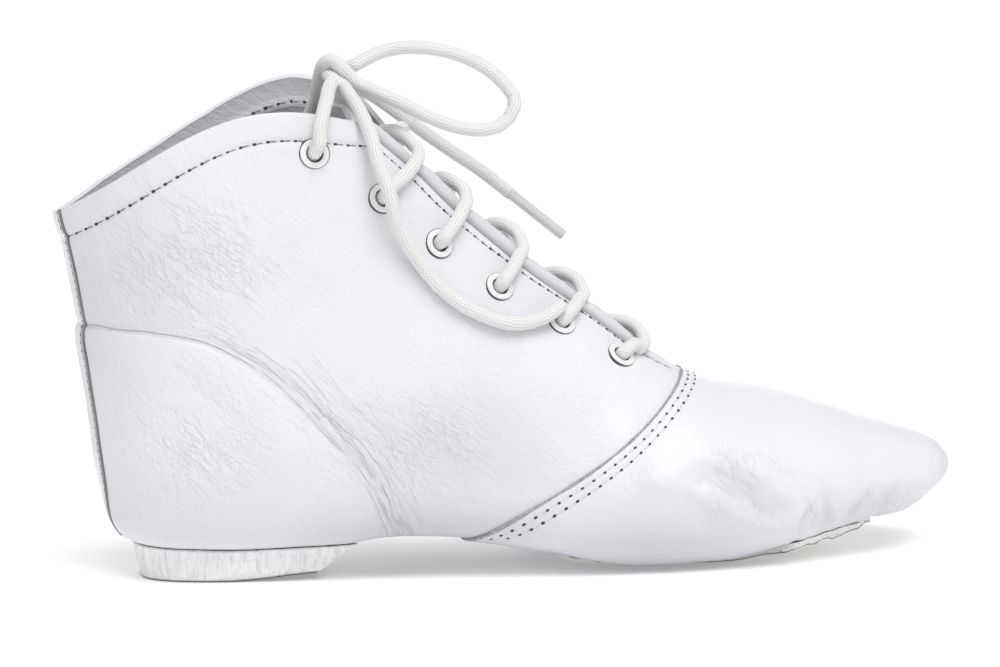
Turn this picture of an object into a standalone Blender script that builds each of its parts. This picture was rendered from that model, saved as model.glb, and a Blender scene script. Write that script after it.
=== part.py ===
"""Soft white leather dance boot with a split sole: one right shoe in separate named pieces.

Metres. +X runs to the toe, +Y to the wearer's left, +Z up. The floor is Z = 0 and the origin is on
it, under the middle of the heel.
"""
import math
from collections import namedtuple
from functools import lru_cache

import bmesh
import bpy
import numpy as np
from mathutils import Matrix, Vector
from mathutils.bvhtree import BVHTree

MM = 0.001

# Leather and fit, in millimetres
WALL = 1.6                # upper leather with its lining
FIT_GAP = 0.3             # between pieces that touch
VAMP_STEP = 1.1           # height of the vamp's cut edge over the quarters
CUFF_WIDTH_ROWS = 0.44    # turned-over band, in section rows below the collar
CUFF_STEP = 0.7
COUNTER_SWELL = 1.0       # heel stiffener showing through the leather
COUNTER_FADE = 7.0

# Throat and lacing, in millimetres
THROAT_LOW = 5.6          # half gap between the flaps at the vamp
THROAT_TOP = 11.6         # half gap at the collar
ROLL_OUT = 2.4            # turned flap edge, standing out over the leather
ROLL_WIDTH = 2.6
EYELET_FLANGE = 4.4       # radii of the eyelet
EYELET_BARREL = 3.1
EYELET_BORE = 2.5
EYELET_TOP = 1.1          # flange over the leather
LACE_RADIUS = 2.0
LACE_CLEAR = 0.6          # lace to what it crosses
TIP_RADIUS = 1.65
TIP_LENGTH = 20.0
TONGUE_THICK = 1.8
TONGUE_SINK = 0.9         # tongue's outer face under the flaps
TONGUE_CROWN = 0.8        # its swell through the throat

# Bottom pieces, in millimetres
INSOLE_THICK = 1.5
NEAR_X = 1.5              # reach of a fitted face's highest place
NEAR_Y = 0.6
SOLE_THICK = 2.8
SOLE_BACK_X = 94.0
SOLE_FRONT_X = 188.0
SOLE_HALF_WIDTH = 32.0
HEEL_BREAST_TOP_X = 31.5
HEEL_BREAST_LOW_X = 24.5
HEEL_BACK_TOP_X = -32.0
HEEL_BACK_LOW_X = -27.5
HEEL_TOP_HALF = 25.5
HEEL_LOW_HALF = 23.0
HEEL_SHIFT_Y = -1.2       # the heel sits toward the outer side
STRIP_HALF = 7.0          # half width of the back strip
STRIP_THICK = 1.0

# Sections of the upper from the toe to the collar, in millimetres. Each runs from its base, under the
# foot or up the back, to its crown on the instep. belly is the height of the widest place as a share,
# the powers square off the crown and the base, rise lifts the sides and corner_in the inner flap.
Section = namedtuple(
    "Section",
    "name crown_x crown_z base_x base_z mid_y half_width belly crown_power base_power rise corner_in")
SECTIONS = (
    Section("toe tip",      212.2,  27.0, 211.6,  20.0,   7.0,   8.5,  0.50,   2.0,   2.0,   0.0,   0.0),
    Section("toe front",    208.5,  30.2, 205.0,  15.0,   7.0,  17.5,  0.48,   2.0,   2.1,   0.0,   0.0),
    Section("toe box",      200.5,  33.8, 194.5,  10.5,   6.0,  25.5,  0.45,   2.0,   2.4,   0.0,   0.0),
    Section("toes",         186.0,  39.4, 176.0,   7.8,   3.5,  34.0,  0.42,   2.0,   3.0,   0.0,   0.0),
    Section("forefoot",     166.0,  45.0, 153.0,   3.8,   1.0,  40.5,  0.38,   2.0,   3.6,   0.0,   0.0),
    Section("ball",         150.0,  48.4, 126.0,   2.5,  -1.0,  43.0,  0.36,   2.0,   4.0,  -0.5,   0.0),
    Section("vamp",         140.0,  51.0,  96.0,   4.2,  -2.5,  41.0,  0.37,   2.0,   4.0,  -1.8,   0.0),
    Section("vamp seam",    130.0,  55.2,  63.0,   9.8,  -3.5,  36.5,  0.40,   2.0,   4.0,  -3.2,   0.0),
    Section("waist",        117.2,  62.9,  40.0,  11.2,  -3.0,  33.5,  0.42,   2.0,   5.5,  -2.0,   0.0),
    Section("seat front",   103.2,  74.3,  16.0,  10.5,  -2.0,  31.5,  0.44,  2.05,   7.0,  -1.0,   0.0),
    Section("seat",          89.9,  84.6,  -9.0,  10.4,  -1.0,  30.5,  0.45,   2.1,   7.0,   0.0,   1.0),
    Section("heel corner",   79.4,  93.8, -31.0,  13.0,   0.0,  30.0,  0.46,   2.2,   4.2,   0.0,   2.0),
    Section("heel back",     71.1, 100.5, -36.8,  27.0,   0.0,  29.5,  0.47,  2.35,   2.5,   0.0,   3.5),
    Section("counter",       63.1, 107.4, -39.4,  45.0,   0.0,  28.5,  0.48,   2.5,   2.3,   2.0,   5.0),
    Section("counter top",   56.0, 114.4, -42.4,  66.0,   0.0,  27.0,  0.50,   2.6,   2.3,   4.5,   7.5),
    Section("shaft",         47.6, 121.2, -45.4,  86.0,   0.0,  25.5,  0.50,   2.7,   2.3,   8.0,  11.5),
    Section("collar",        40.3, 127.1, -49.5, 104.5,   0.0,  24.5,  0.50,   2.7,   2.3,  12.0,  16.5),
)
SEAM_ROW = 7.0
COLLAR_ROW = 16.0
CUFF_ROW = COLLAR_ROW - CUFF_WIDTH_ROWS
RISE_SKEW = 1.35                    # sets the highest place of a side's rise toward the crown
OUTER, INNER = -1, 1

# Upper edge of the counter on the outer face, seen from the side, in millimetres
CounterEdge = namedtuple("CounterEdge", "x z")
COUNTER_EDGE = (
    CounterEdge(-60.0, 74.0),
    CounterEdge(-24.0, 70.5),
    CounterEdge(-8.0, 66.5),
    CounterEdge(8.0, 57.0),
    CounterEdge(22.0, 42.5),
    CounterEdge(33.0, 27.5),
    CounterEdge(42.0, 8.0),
)

# Eyelets from the collar down: section row, length from the flap edge along it in millimetres, and how
# far the lace has moved toward the next eyelet where it leaves the flap, as a share
Eyelet = namedtuple("Eyelet", "row inset lean")
EYELETS = (
    Eyelet(15.05, 26.6, 0.30),
    Eyelet(13.75, 20.1, 0.30),
    Eyelet(12.15, 17.1, 0.20),
    Eyelet(10.40, 15.0, 0.05),
    Eyelet(9.20, 12.8, 0.00),
    Eyelet(8.15, 10.5, -0.15),
)

# Lace routes above the throat, in millimetres
KNOT_CENTER = (31.4, 0.0, 141.6)
KNOT_RADII = (6.5, 6.5, 6.0)
OUTER_STRAND = (
    (23.5, -26.7, 119.3),
    (24.2, -25.8, 126.4),
    (25.1, -23.8, 131.3),
    (27.2, -20.0, 133.8),
    (29.8, -10.5, 140.2),
    (31.4, 0.0, 141.6),
)
INNER_STRAND = (
    (31.4, 0.0, 141.6),
    (27.4, 4.0, 142.4),
    (25.8, 9.0, 138.2),
    (24.4, 13.5, 132.5),
    (21.9, 18.5, 127.7),
    (20.3, 19.7, 123.7),
)
LOOP_ROUTE = (
    (37.4, 1.8, 144.4),
    (45.0, 4.0, 148.0),
    (54.0, 3.0, 149.3),
    (65.0, 2.0, 147.7),
    (75.0, 1.0, 143.2),
    (82.0, 0.0, 136.5),
    (83.2, -1.5, 132.2),
    (80.0, -2.5, 127.3),
    (74.0, -3.5, 125.2),
    (66.5, -4.5, 126.0),
    (58.0, -5.5, 129.0),
    (49.0, -5.6, 133.6),
    (37.4, -2.2, 138.9),
)
FRONT_END_ROUTE = (
    (36.6, 3.3, 138.8),
    (44.4, 8.0, 134.8),
    (54.8, 12.6, 127.4),
    (66.5, 16.0, 119.2),
    (75.5, 17.0, 113.2),
    (84.6, 17.0, 105.9),
)
SIDE_END_ROUTE = (
    (33.4, -5.5, 138.0),
    (36.8, -14.9, 130.9),
    (38.8, -22.0, 124.3),
    (40.4, -27.3, 116.2),
    (42.8, -30.3, 108.6),
    (45.0, -29.0, 99.6),
    (50.6, -27.2, 89.7),
    (57.7, -26.2, 81.0),
    (66.0, -26.4, 74.9),
    (75.9, -26.3, 71.0),
    (83.7, -24.4, 71.2),
    (88.8, -23.0, 73.0),
)

# Steps between one table row and the next, and columns on each side of the upper
ROW_STEPS = (1, 2, 2, 2, 2, 2, 3, 2, 2, 2, 2, 2, 2, 2, 2, 2)
SIDE_COLUMNS = 15
CURVE_STEPS = 160


def smooth(edge_low, edge_high, value):
    """Rise from 0 to 1 between two edges without a kink."""
    share = min(1.0, max(0.0, (value - edge_low) / (edge_high - edge_low)))
    return share * share * (3.0 - 2.0 * share)


def row_values(row):
    """Section columns at any row, on a smooth curve through the table."""
    first = min(int(row), len(SECTIONS) - 2)
    share = row - first
    picks = [SECTIONS[min(max(first + k, 0), len(SECTIONS) - 1)][1:] for k in (-1, 0, 1, 2)]
    p0, p1, p2, p3 = (np.array(pick, dtype=float) for pick in picks)
    curve = (p1 + 0.5 * share * ((p2 - p0) + share * ((2 * p0 - 5 * p1 + 4 * p2 - p3)
             + share * (3 * (p1 - p2) + p3 - p0))))
    return Section("", *curve)


@lru_cache(maxsize=None)
def side_curve(row, side):
    """Points of one side of a section from crown to base, with their running lengths."""
    sec = row_values(row)
    angle = np.linspace(0.0, math.pi, CURVE_STEPS + 1)
    up = np.clip(np.cos(angle), 0.0, 1.0)
    down = np.clip(-np.cos(angle), 0.0, 1.0)
    power = np.where(angle <= math.pi / 2, 2.0 / sec.crown_power, 2.0 / sec.base_power)
    width = np.clip(np.sin(angle), 0.0, 1.0) ** power
    height = np.where(angle <= math.pi / 2,
                      sec.belly + (1.0 - sec.belly) * up ** power,
                      sec.belly * (1.0 - down ** power))
    base = np.array((sec.base_x, 0.0, sec.base_z))
    axis = np.array((sec.crown_x, 0.0, sec.crown_z)) - base
    lift_axis = np.array((-axis[2], 0.0, axis[0])) / np.linalg.norm(axis)
    lift = sec.rise * np.sin(math.pi * height ** RISE_SKEW)
    if side == INNER:
        lift = lift + sec.corner_in * (height ** 2 - 0.45 * height ** 8)
    points = base + np.outer(height, axis) + np.outer(lift, lift_axis)
    points[:, 1] = sec.mid_y + side * sec.half_width * width
    steps = np.linalg.norm(np.diff(points, axis=0), axis=1)
    return points, np.concatenate(([0.0], np.cumsum(steps)))


def throat_half(row):
    """Half gap of the throat at a row. In front of the seam it marks the vamp's crown columns."""
    if row < SEAM_ROW:
        return THROAT_LOW * row_values(row).half_width / row_values(SEAM_ROW).half_width
    share = (row - SEAM_ROW) / (COLLAR_ROW - SEAM_ROW)
    return THROAT_LOW + (THROAT_TOP - THROAT_LOW) * share


def edge_length(row, side):
    """Length along a section from its crown to the flap edge."""
    points, lengths = side_curve(row, side)
    reach = np.abs(points[:, 1] - row_values(row).mid_y)
    half = throat_half(row)
    last = int(np.argmax(reach >= half))
    share = (half - reach[last - 1]) / (reach[last] - reach[last - 1])
    return lengths[last - 1] + share * (lengths[last] - lengths[last - 1])


def on_curve(row, side, length):
    """Point of the form at a length from the crown."""
    points, lengths = side_curve(row, side)
    return np.array([np.interp(length, lengths, points[:, k]) for k in range(3)])


def form_point(row, side, length):
    """Point and outward normal of the form."""
    total = side_curve(row, side)[1][-1]
    low_row, high_row = max(row - 0.04, 0.0), min(row + 0.04, COLLAR_ROW)
    near, far = max(length - 1.0, 0.0), min(length + 1.0, total)
    share = length / total
    along = (on_curve(high_row, side, share * side_curve(high_row, side)[1][-1])
             - on_curve(low_row, side, share * side_curve(low_row, side)[1][-1]))
    across = on_curve(row, side, far) - on_curve(row, side, near)
    normal = np.cross(across, along) * side
    if length <= 0.0 or length >= total:
        normal[1] = 0.0
    normal = normal / np.linalg.norm(normal)
    return on_curve(row, side, length), normal


def counter_height(x):
    """Height of the counter's edge at a place along the shoe."""
    return float(np.interp(x, [edge.x for edge in COUNTER_EDGE], [edge.z for edge in COUNTER_EDGE]))


def edge_roll(row, side, length):
    """How far the turned edge of a flap stands out at a length from the crown."""
    share = smooth(SEAM_ROW - 0.4, SEAM_ROW + 1.8, row)
    share *= 1.0 - 0.6 * smooth(COLLAR_ROW - 0.4, COLLAR_ROW, row)
    return ROLL_OUT * share * (1.0 - smooth(0.0, ROLL_WIDTH, length - edge_length(row, side)))


def relief(row, point, vamp_side):
    """How far the leather stands out from the form."""
    out = 0.0
    if vamp_side:
        out += VAMP_STEP * smooth(SEAM_ROW - 2.2, SEAM_ROW - 0.3, row)
    else:
        below = counter_height(point[0]) - point[2]
        out += COUNTER_SWELL * smooth(-0.2 * COUNTER_FADE, COUNTER_FADE, below)
    if row > CUFF_ROW + 0.01:
        out += CUFF_STEP * (1.0 - 0.6 * smooth(COLLAR_ROW - 0.12, COLLAR_ROW, row))
    return out


def leather_point(row, side, length, depth=0.0, vamp_side=None):
    """Point on the outer face of the upper, or at a depth under it, with its normal."""
    point, normal = form_point(row, side, length)
    if vamp_side is None:
        vamp_side = row < SEAM_ROW
    out = relief(row, point, vamp_side) + edge_roll(row, side, length)
    return point + normal * (out - depth), normal


def upper_rows():
    """Rows of the upper's mesh as (row, on the vamp)."""
    rows = []
    for first, steps in enumerate(ROW_STEPS):
        rows += [(first + k / steps, first < SEAM_ROW) for k in range(steps)]
        if first + 1 == SEAM_ROW:
            rows.append((SEAM_ROW, True))
    rows += [(CUFF_ROW, False), (CUFF_ROW + 0.02, False), (COLLAR_ROW - 0.1, False)]
    rows.append((COLLAR_ROW, False))
    return sorted(rows, key=lambda entry: (entry[0], not entry[1]))


def column_places(row):
    """Columns of a mesh row as (side, length): base, outer side, crown, inner side."""
    places = []
    for side in (OUTER, INNER):
        start = edge_length(row, side)
        total = side_curve(row, side)[1][-1]
        first = start + ROLL_WIDTH * min(1.0, total / 90.0)
        run = [(side, start)]
        run += [(side, first + k / (SIDE_COLUMNS - 1) * (total - first)) for k in range(SIDE_COLUMNS)]
        if side == OUTER:
            places += run[::-1] + [(OUTER, 0.0)]
        else:
            places += run[:-1]
    return places


CROWN_COLUMN = SIDE_COLUMNS + 1
COLUMNS = 2 * SIDE_COLUMNS + 2


def upper_grid(inner):
    """Vertices of the outer or the inner face of the upper, row by row."""
    grid = []
    for row, on_vamp in upper_rows():
        line = []
        for side, length in column_places(row):
            if inner:
                point, normal = form_point(row, side, length)
                line.append(point - normal * (WALL - 0.75 * edge_roll(row, side, length)))
            else:
                line.append(leather_point(row, side, length, vamp_side=on_vamp)[0])
        grid.append(line)
    return grid


def upper_faces(cut_bottom):
    """Quads of one face of the upper as (row, column) corners."""
    rows = upper_rows()
    quads = []
    for i in range(len(rows) - 1):
        for j in range(COLUMNS):
            at_throat = j in (CROWN_COLUMN - 1, CROWN_COLUMN)
            if at_throat and rows[i][0] >= SEAM_ROW and not rows[i + 1][1]:
                continue
            if cut_bottom and bottom_is_open(rows[i][0], rows[i + 1][0], j):
                continue
            after = (j + 1) % COLUMNS
            quads.append(((i, j), (i, after), (i + 1, after), (i + 1, j)))
    return quads


def bottom_is_open(low_row, high_row, column):
    """True under the front sole and over the heel, where those pieces close the upper."""
    from_base = column if column < CROWN_COLUMN else COLUMNS - 1 - column
    under_sole = low_row >= 3.4 and high_row <= 5.8 and from_base < 3
    over_heel = low_row >= 9.0 and high_row <= 10.6 and from_base < 2
    return under_sole or over_heel


def material(name, color, roughness, metallic=0.0):
    """Principled material of a piece."""
    shader = bpy.data.materials.new(name)
    shader.use_nodes = True
    node = shader.node_tree.nodes["Principled BSDF"]
    node.inputs["Base Color"].default_value = (*color, 1.0)
    node.inputs["Roughness"].default_value = roughness
    node.inputs["Metallic"].default_value = metallic
    return shader


def collection(name):
    """New collection in the scene."""
    group = bpy.data.collections.new(name)
    bpy.context.scene.collection.children.link(group)
    return group


def add_object(name, mesh, group, shader=None):
    """Object with one material in a collection."""
    piece = bpy.data.objects.new(name, mesh)
    group.objects.link(piece)
    if shader:
        mesh.materials.append(shader)
    return piece


def mesh_from(name, verts, faces):
    """Mesh from millimetre vertices."""
    mesh = bpy.data.meshes.new(name)
    mesh.from_pydata([tuple(np.array(vert) * MM) for vert in verts], [], faces)
    mesh.update()
    return mesh


def face_out(mesh):
    """Turn a closed mesh's faces outwards."""
    shape = bmesh.new()
    shape.from_mesh(mesh)
    bmesh.ops.recalc_face_normals(shape, faces=shape.faces)
    shape.to_mesh(mesh)
    shape.free()


def apply_modifiers(piece):
    """Bake an object's modifiers into its mesh."""
    depsgraph = bpy.context.evaluated_depsgraph_get()
    baked = bpy.data.meshes.new_from_object(piece.evaluated_get(depsgraph))
    piece.modifiers.clear()
    piece.data = baked


def upper_shell():
    """Closed mesh of the upper: outer face, inner face and the rims that join them."""
    outer, inner = upper_grid(False), upper_grid(True)
    rows = upper_rows()
    quads = upper_faces(cut_bottom=True)
    used = sorted({corner for quad in quads for corner in quad})
    out_index = {corner: k for k, corner in enumerate(used)}
    seam_twin = {}
    for i, (row, on_vamp) in enumerate(rows):
        if row == SEAM_ROW and on_vamp:
            seam_twin[i + 1] = i
    in_used = [corner for corner in used if corner[0] not in seam_twin or corner[1] == CROWN_COLUMN]
    in_index = {corner: len(used) + k for k, corner in enumerate(in_used)}
    for corner in used:
        if corner not in in_index:
            in_index[corner] = in_index[(seam_twin[corner[0]], corner[1])]
    verts = [outer[i][j] for i, j in used] + [inner[i][j] for i, j in in_used]
    faces = [[out_index[corner] for corner in quad] for quad in quads]
    counts = {}
    for quad in quads:
        for k in range(4):
            edge = (quad[k], quad[(k + 1) % 4])
            counts[frozenset(edge)] = counts.get(frozenset(edge), 0) + 1
        ring = [in_index[corner] for corner in reversed(quad)]
        if len(set(ring)) == 4:
            faces.append(ring)
    tip = [corner for corner in used if corner[0] == 0]
    out_pole, in_pole = len(verts), len(verts) + 1
    pole = sum(outer[0]) / COLUMNS + np.array((1.2, 0.0, 0.0))
    verts += [pole, pole - np.array((WALL, 0.0, 0.0))]
    for k, corner in enumerate(tip):
        after = tip[(k + 1) % len(tip)]
        faces.append([out_index[after], out_index[corner], out_pole])
        faces.append([in_index[corner], in_index[after], in_pole])
    for quad in quads:
        for k in range(4):
            one, two = quad[k], quad[(k + 1) % 4]
            if counts[frozenset((one, two))] == 1 and not (one[0] == 0 and two[0] == 0):
                rim = [out_index[two], out_index[one], in_index[one], in_index[two]]
                faces.append(list(dict.fromkeys(rim)))
    return verts, faces


def face_tree(inner):
    """Ray tree of the whole outer or inner face, with the bottom closed."""
    grid = upper_grid(inner)
    verts = [Vector(point) for line in grid for point in line]
    faces = [[i * COLUMNS + j for i, j in quad] for quad in upper_faces(cut_bottom=False)]
    return BVHTree.FromPolygons(verts, faces)


def eyelet_frame(row, inset, side):
    """Centre of an eyelet on the leather and its normal."""
    return leather_point(row, side, edge_length(row, side) + inset)


def placed(center, normal):
    """Matrix that sets a turned piece on the leather with its axis along the normal."""
    turn = Vector(normal).to_track_quat("Z", "Y").to_matrix().to_4x4()
    return Matrix.Translation(Vector(center) * MM) @ turn


def make_upper(group, cutters, shader):
    """Upper with a hole for each eyelet."""
    mesh = mesh_from("upper", *upper_shell())
    face_out(mesh)
    upper = add_object("upper", mesh, group, shader)
    for row, inset, _ in EYELETS:
        for side in (OUTER, INNER):
            mesh = bpy.data.meshes.new("eyelet_hole")
            shape = bmesh.new()
            bmesh.ops.create_cone(shape, cap_ends=True, segments=10, depth=8 * MM,
                                  radius1=(EYELET_BARREL + FIT_GAP) * MM,
                                  radius2=(EYELET_BARREL + FIT_GAP) * MM)
            shape.to_mesh(mesh)
            shape.free()
            cutter = add_object("eyelet_hole", mesh, cutters)
            cutter.matrix_world = placed(*eyelet_frame(row, inset, side))
            cutter.hide_render = True
            cutter.display_type = "WIRE"
    cut = upper.modifiers.new("eyelet holes", "BOOLEAN")
    cut.operand_type = "COLLECTION"
    cut.collection = cutters
    cut.operation = "DIFFERENCE"
    cut.solver = "EXACT"
    return upper


def make_eyelets(group, shader):
    """Turned eyelets, each with its barrel through the leather."""
    top, under = 0.9, FIT_GAP + 0.15
    low = -(WALL + 0.2)
    profile = [(EYELET_FLANGE, under), (EYELET_BARREL, under), (EYELET_BARREL, low), (EYELET_BORE, low),
               (EYELET_BORE, top), (EYELET_FLANGE - 0.5, top + 0.2)]
    for k, (row, inset, _) in enumerate(EYELETS):
        for side, label in ((OUTER, "outer"), (INNER, "inner")):
            name = f"eyelet_{label}_{k + 1}"
            edges = [(n, (n + 1) % len(profile)) for n in range(len(profile))]
            mesh = bpy.data.meshes.new(name)
            mesh.from_pydata([(r * MM, 0.0, z * MM) for r, z in profile], edges, [])
            piece = add_object(name, mesh, group, shader)
            turn = piece.modifiers.new("turn", "SCREW")
            turn.steps = 8
            turn.render_steps = 8
            turn.use_merge_vertices = True
            turn.merge_threshold = 0.00001
            piece.matrix_world = placed(*eyelet_frame(row, inset, side))


def sheet(name, grid, group, shader, thick, offset):
    """Solid sheet: an open grid of points with Solidify."""
    across = len(grid[0])
    verts = [point for line in grid for point in line]
    faces = [(i * across + j, i * across + j + 1, (i + 1) * across + j + 1, (i + 1) * across + j)
             for i in range(len(grid) - 1) for j in range(across - 1)]
    piece = add_object(name, mesh_from(name, verts, faces), group, shader)
    wall = piece.modifiers.new("wall", "SOLIDIFY")
    wall.thickness = thick * MM
    wall.offset = offset
    wall.use_even_offset = True
    return piece


def make_back_strip(group, shader):
    """Strip over the back seam, from the heel seat to the collar."""
    rows = [11.1 + k * (CUFF_ROW - 11.1) / 12 for k in range(13)]
    rows += [CUFF_ROW + 0.03, COLLAR_ROW - 0.1, COLLAR_ROW - 0.02]
    grid = []
    for row in rows:
        line = []
        for share in (-1.0, -0.5, 0.0, 0.5, 1.0):
            side = OUTER if share <= 0.0 else INNER
            total = side_curve(row, side)[1][-1]
            line.append(leather_point(row, side, total - abs(share) * STRIP_HALF, depth=-FIT_GAP - 0.15)[0])
        grid.append(line)
    return sheet("back_strip", grid, group, shader, STRIP_THICK, -1.0)


def tongue_point(row, reach):
    """Point on the tongue's outer face and its normal, at a length from the throat's middle."""
    side = OUTER if reach < 0.0 else INNER
    depth = WALL + TONGUE_SINK
    edge = edge_length(row, side)
    if abs(reach) >= edge:
        point, normal = form_point(row, side, abs(reach))
        return point - normal * depth, normal
    ends = [form_point(row, flap, edge_length(row, flap)) for flap in (OUTER, INNER)]
    share = 0.5 + 0.5 * reach / edge
    line = [point - normal * depth for point, normal in ends]
    normal = ends[0][1] * (1.0 - share) + ends[1][1] * share
    normal = normal / np.linalg.norm(normal)
    arch = 0.5 + (TONGUE_CROWN - 0.5) * smooth(SEAM_ROW, SEAM_ROW + 1.2, row)
    return line[0] * (1.0 - share) + line[1] * share + normal * arch * (1.0 - (reach / edge) ** 2), normal


def make_tongue(group, shader):
    """Tongue from under the vamp to the collar, swelling through the throat."""
    shares = (-1.0, -0.65, -0.45, -0.22, 0.0, 0.22, 0.45, 0.65, 1.0)
    grid = []
    for k in range(17):
        row = 6.4 + (COLLAR_ROW - 6.4) * k / 16
        half = 17.0 + 4.0 * k / 16
        grid.append([tongue_point(row, share * half)[0] for share in shares])
    return sheet("tongue", grid, group, shader, TONGUE_THICK, -1.0)


def drop(tree, x, y, start, step):
    """Height of a face of the upper over or under a place: the one nearest the start close by."""
    heights = []
    for aside_x, aside_y in ((0, 0), (NEAR_X, 0), (-NEAR_X, 0), (0, NEAR_Y), (0, -NEAR_Y)):
        hit = tree.ray_cast(Vector((x + aside_x, y + aside_y, start)), Vector((0.0, 0.0, step)))[0]
        if hit:
            heights.append(hit.z)
    return min(heights) if step > 0.0 else max(heights)


def make_insole(group, shader, inner_tree):
    """Sock inside the upper, over the whole bottom."""
    grid = []
    for x in np.linspace(-27.0, 199.0, 22):
        center = drop(inner_tree, x, 2.0, 24.0, -1.0)
        level = center + 3.2
        reach = []
        for side in (OUTER, INNER):
            hit = inner_tree.ray_cast(Vector((x, 2.0, level)), Vector((0.0, side, 0.0)))[0]
            reach.append(hit.y - side * 1.0)
        line = []
        for share in (0.0, 0.06, 0.2, 0.5, 0.8, 0.94, 1.0):
            y = reach[0] + share * (reach[1] - reach[0])
            line.append((x, y, drop(inner_tree, x, y, level + 4.0, -1.0) + FIT_GAP))
        grid.append(line)
    return sheet("insole", grid, group, shader, INSOLE_THICK, -1.0)


def disc(f, g, power):
    """Square (f, g) drawn round: a superellipse disc with no pole."""
    x, y = f * math.sqrt(1.0 - g * g / 2.0), g * math.sqrt(1.0 - f * f / 2.0)
    size = math.hypot(x, y)
    if size < 1e-9:
        return 0.0, 0.0
    factor = (abs(x / size) ** power + abs(y / size) ** power) ** (-1.0 / power)
    return x * factor, y * factor


def pad(name, top, low, group, shader):
    """Solid between two grids of points of the same size."""
    rows, across = len(top), len(top[0])
    verts = [point for grid in (top, low) for line in grid for point in line]
    shift = rows * across
    faces = []
    for i in range(rows - 1):
        for j in range(across - 1):
            quad = [i * across + j, (i + 1) * across + j, (i + 1) * across + j + 1, i * across + j + 1]
            faces += [quad, [shift + k for k in reversed(quad)]]
    ring = [(0, j) for j in range(across)] + [(i, across - 1) for i in range(1, rows)]
    ring += [(rows - 1, j) for j in range(across - 2, -1, -1)] + [(i, 0) for i in range(rows - 2, 0, -1)]
    for k, (i, j) in enumerate(ring):
        n, m = ring[(k + 1) % len(ring)]
        one, two = i * across + j, n * across + m
        faces.append([two, one, shift + one, shift + two])
    mesh = mesh_from(name, verts, faces)
    face_out(mesh)
    return add_object(name, mesh, group, shader)


def make_front_sole(group, shader, outer_tree):
    """Forefoot patch: flat under the ball, rising with the toe spring."""
    middle, half_length = (SOLE_FRONT_X + SOLE_BACK_X) / 2, (SOLE_FRONT_X - SOLE_BACK_X) / 2
    top, low = [], []
    for f in np.linspace(-1.0, 1.0, 15):
        top_line, low_line = [], []
        for g in np.sin(np.linspace(-0.5, 0.5, 9) * math.pi):
            along, across = disc(f, g, 2.4)
            x = middle + half_length * along
            bend = 2.5 * smooth(middle, SOLE_FRONT_X, x) - 1.5
            y = bend + SOLE_HALF_WIDTH * across * (1.0 - 0.14 * smooth(middle, SOLE_FRONT_X, x))
            level = drop(outer_tree, x, y, -5.0, 1.0) - FIT_GAP
            spine = drop(outer_tree, x, bend, -5.0, 1.0) - FIT_GAP
            floor = max(0.0, spine - SOLE_THICK)
            top_line.append((x, y, max(level, floor + 0.8)))
            low_line.append((x, y, floor))
        top.append(top_line)
        low.append(low_line)
    return pad("front_sole", top, low, group, shader)


def make_heel(group, shader, outer_tree):
    """Low heel block: round at the back, with a slanted breast."""
    top, low = [], []
    for f in np.sin(np.linspace(0.0, 0.5, 11) * math.pi):
        top_line, low_line = [], []
        for g in np.sin(np.linspace(-0.5, 0.5, 11) * math.pi):
            back, across = disc(f, g, 2.9)
            x = HEEL_BREAST_TOP_X - (HEEL_BREAST_TOP_X - HEEL_BACK_TOP_X) * back
            y = HEEL_TOP_HALF * across + HEEL_SHIFT_Y
            top_line.append((x, y, drop(outer_tree, x, y, -5.0, 1.0) - FIT_GAP - 0.1))
            x = HEEL_BREAST_LOW_X - (HEEL_BREAST_LOW_X - HEEL_BACK_LOW_X) * back
            low_line.append((x, HEEL_LOW_HALF * across + HEEL_SHIFT_Y, 0.0))
        top.append(top_line)
        low.append(low_line)
    return pad("heel", top, low, group, shader)


def smooth_route(points, count):
    """Evenly spread points on a smooth curve through a route's own points."""
    route = np.array(points, dtype=float)
    ends = np.vstack((2 * route[0] - route[1], route, 2 * route[-1] - route[-2]))
    dense = []
    for k in range(len(route) - 1):
        p0, p1, p2, p3 = ends[k:k + 4]
        for t in np.linspace(0.0, 1.0, 20, endpoint=False):
            dense.append(p1 + 0.5 * t * ((p2 - p0) + t * ((2 * p0 - 5 * p1 + 4 * p2 - p3)
                         + t * (3 * (p1 - p2) + p3 - p0))))
    dense = np.array(dense + [route[-1]])
    run = np.concatenate(([0.0], np.cumsum(np.linalg.norm(np.diff(dense, axis=0), axis=1))))
    spots = np.linspace(0.0, run[-1], count)
    return np.column_stack([np.interp(spots, run, dense[:, k]) for k in range(3)])


def tube(name, points, group, shader, radius=LACE_RADIUS):
    """Round cord along a route, as a closed mesh."""
    curve = bpy.data.curves.new(name, "CURVE")
    curve.dimensions = "3D"
    curve.bevel_depth = radius * MM
    curve.bevel_resolution = 2
    curve.use_fill_caps = True
    spline = curve.splines.new("POLY")
    spline.points.add(len(points) - 1)
    for spot, point in zip(spline.points, points):
        spot.co = (*(point * MM), 1.0)
    rope = bpy.data.objects.new(name, curve)
    group.objects.link(rope)
    mesh = bpy.data.meshes.new_from_object(rope)
    bpy.data.objects.remove(rope)
    shape = bmesh.new()
    shape.from_mesh(mesh)
    bmesh.ops.remove_doubles(shape, verts=shape.verts, dist=0.00001)
    bmesh.ops.recalc_face_normals(shape, faces=shape.faces)
    shape.to_mesh(mesh)
    shape.free()
    mesh.materials.clear()
    return add_object(name, mesh, group, shader)


def join(piece, others):
    """Fuse solids into one."""
    for other in others:
        fuse = piece.modifiers.new("fuse", "BOOLEAN")
        fuse.operation = "UNION"
        fuse.solver = "EXACT"
        fuse.object = other
    apply_modifiers(piece)
    for other in others:
        bpy.data.objects.remove(other)


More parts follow.
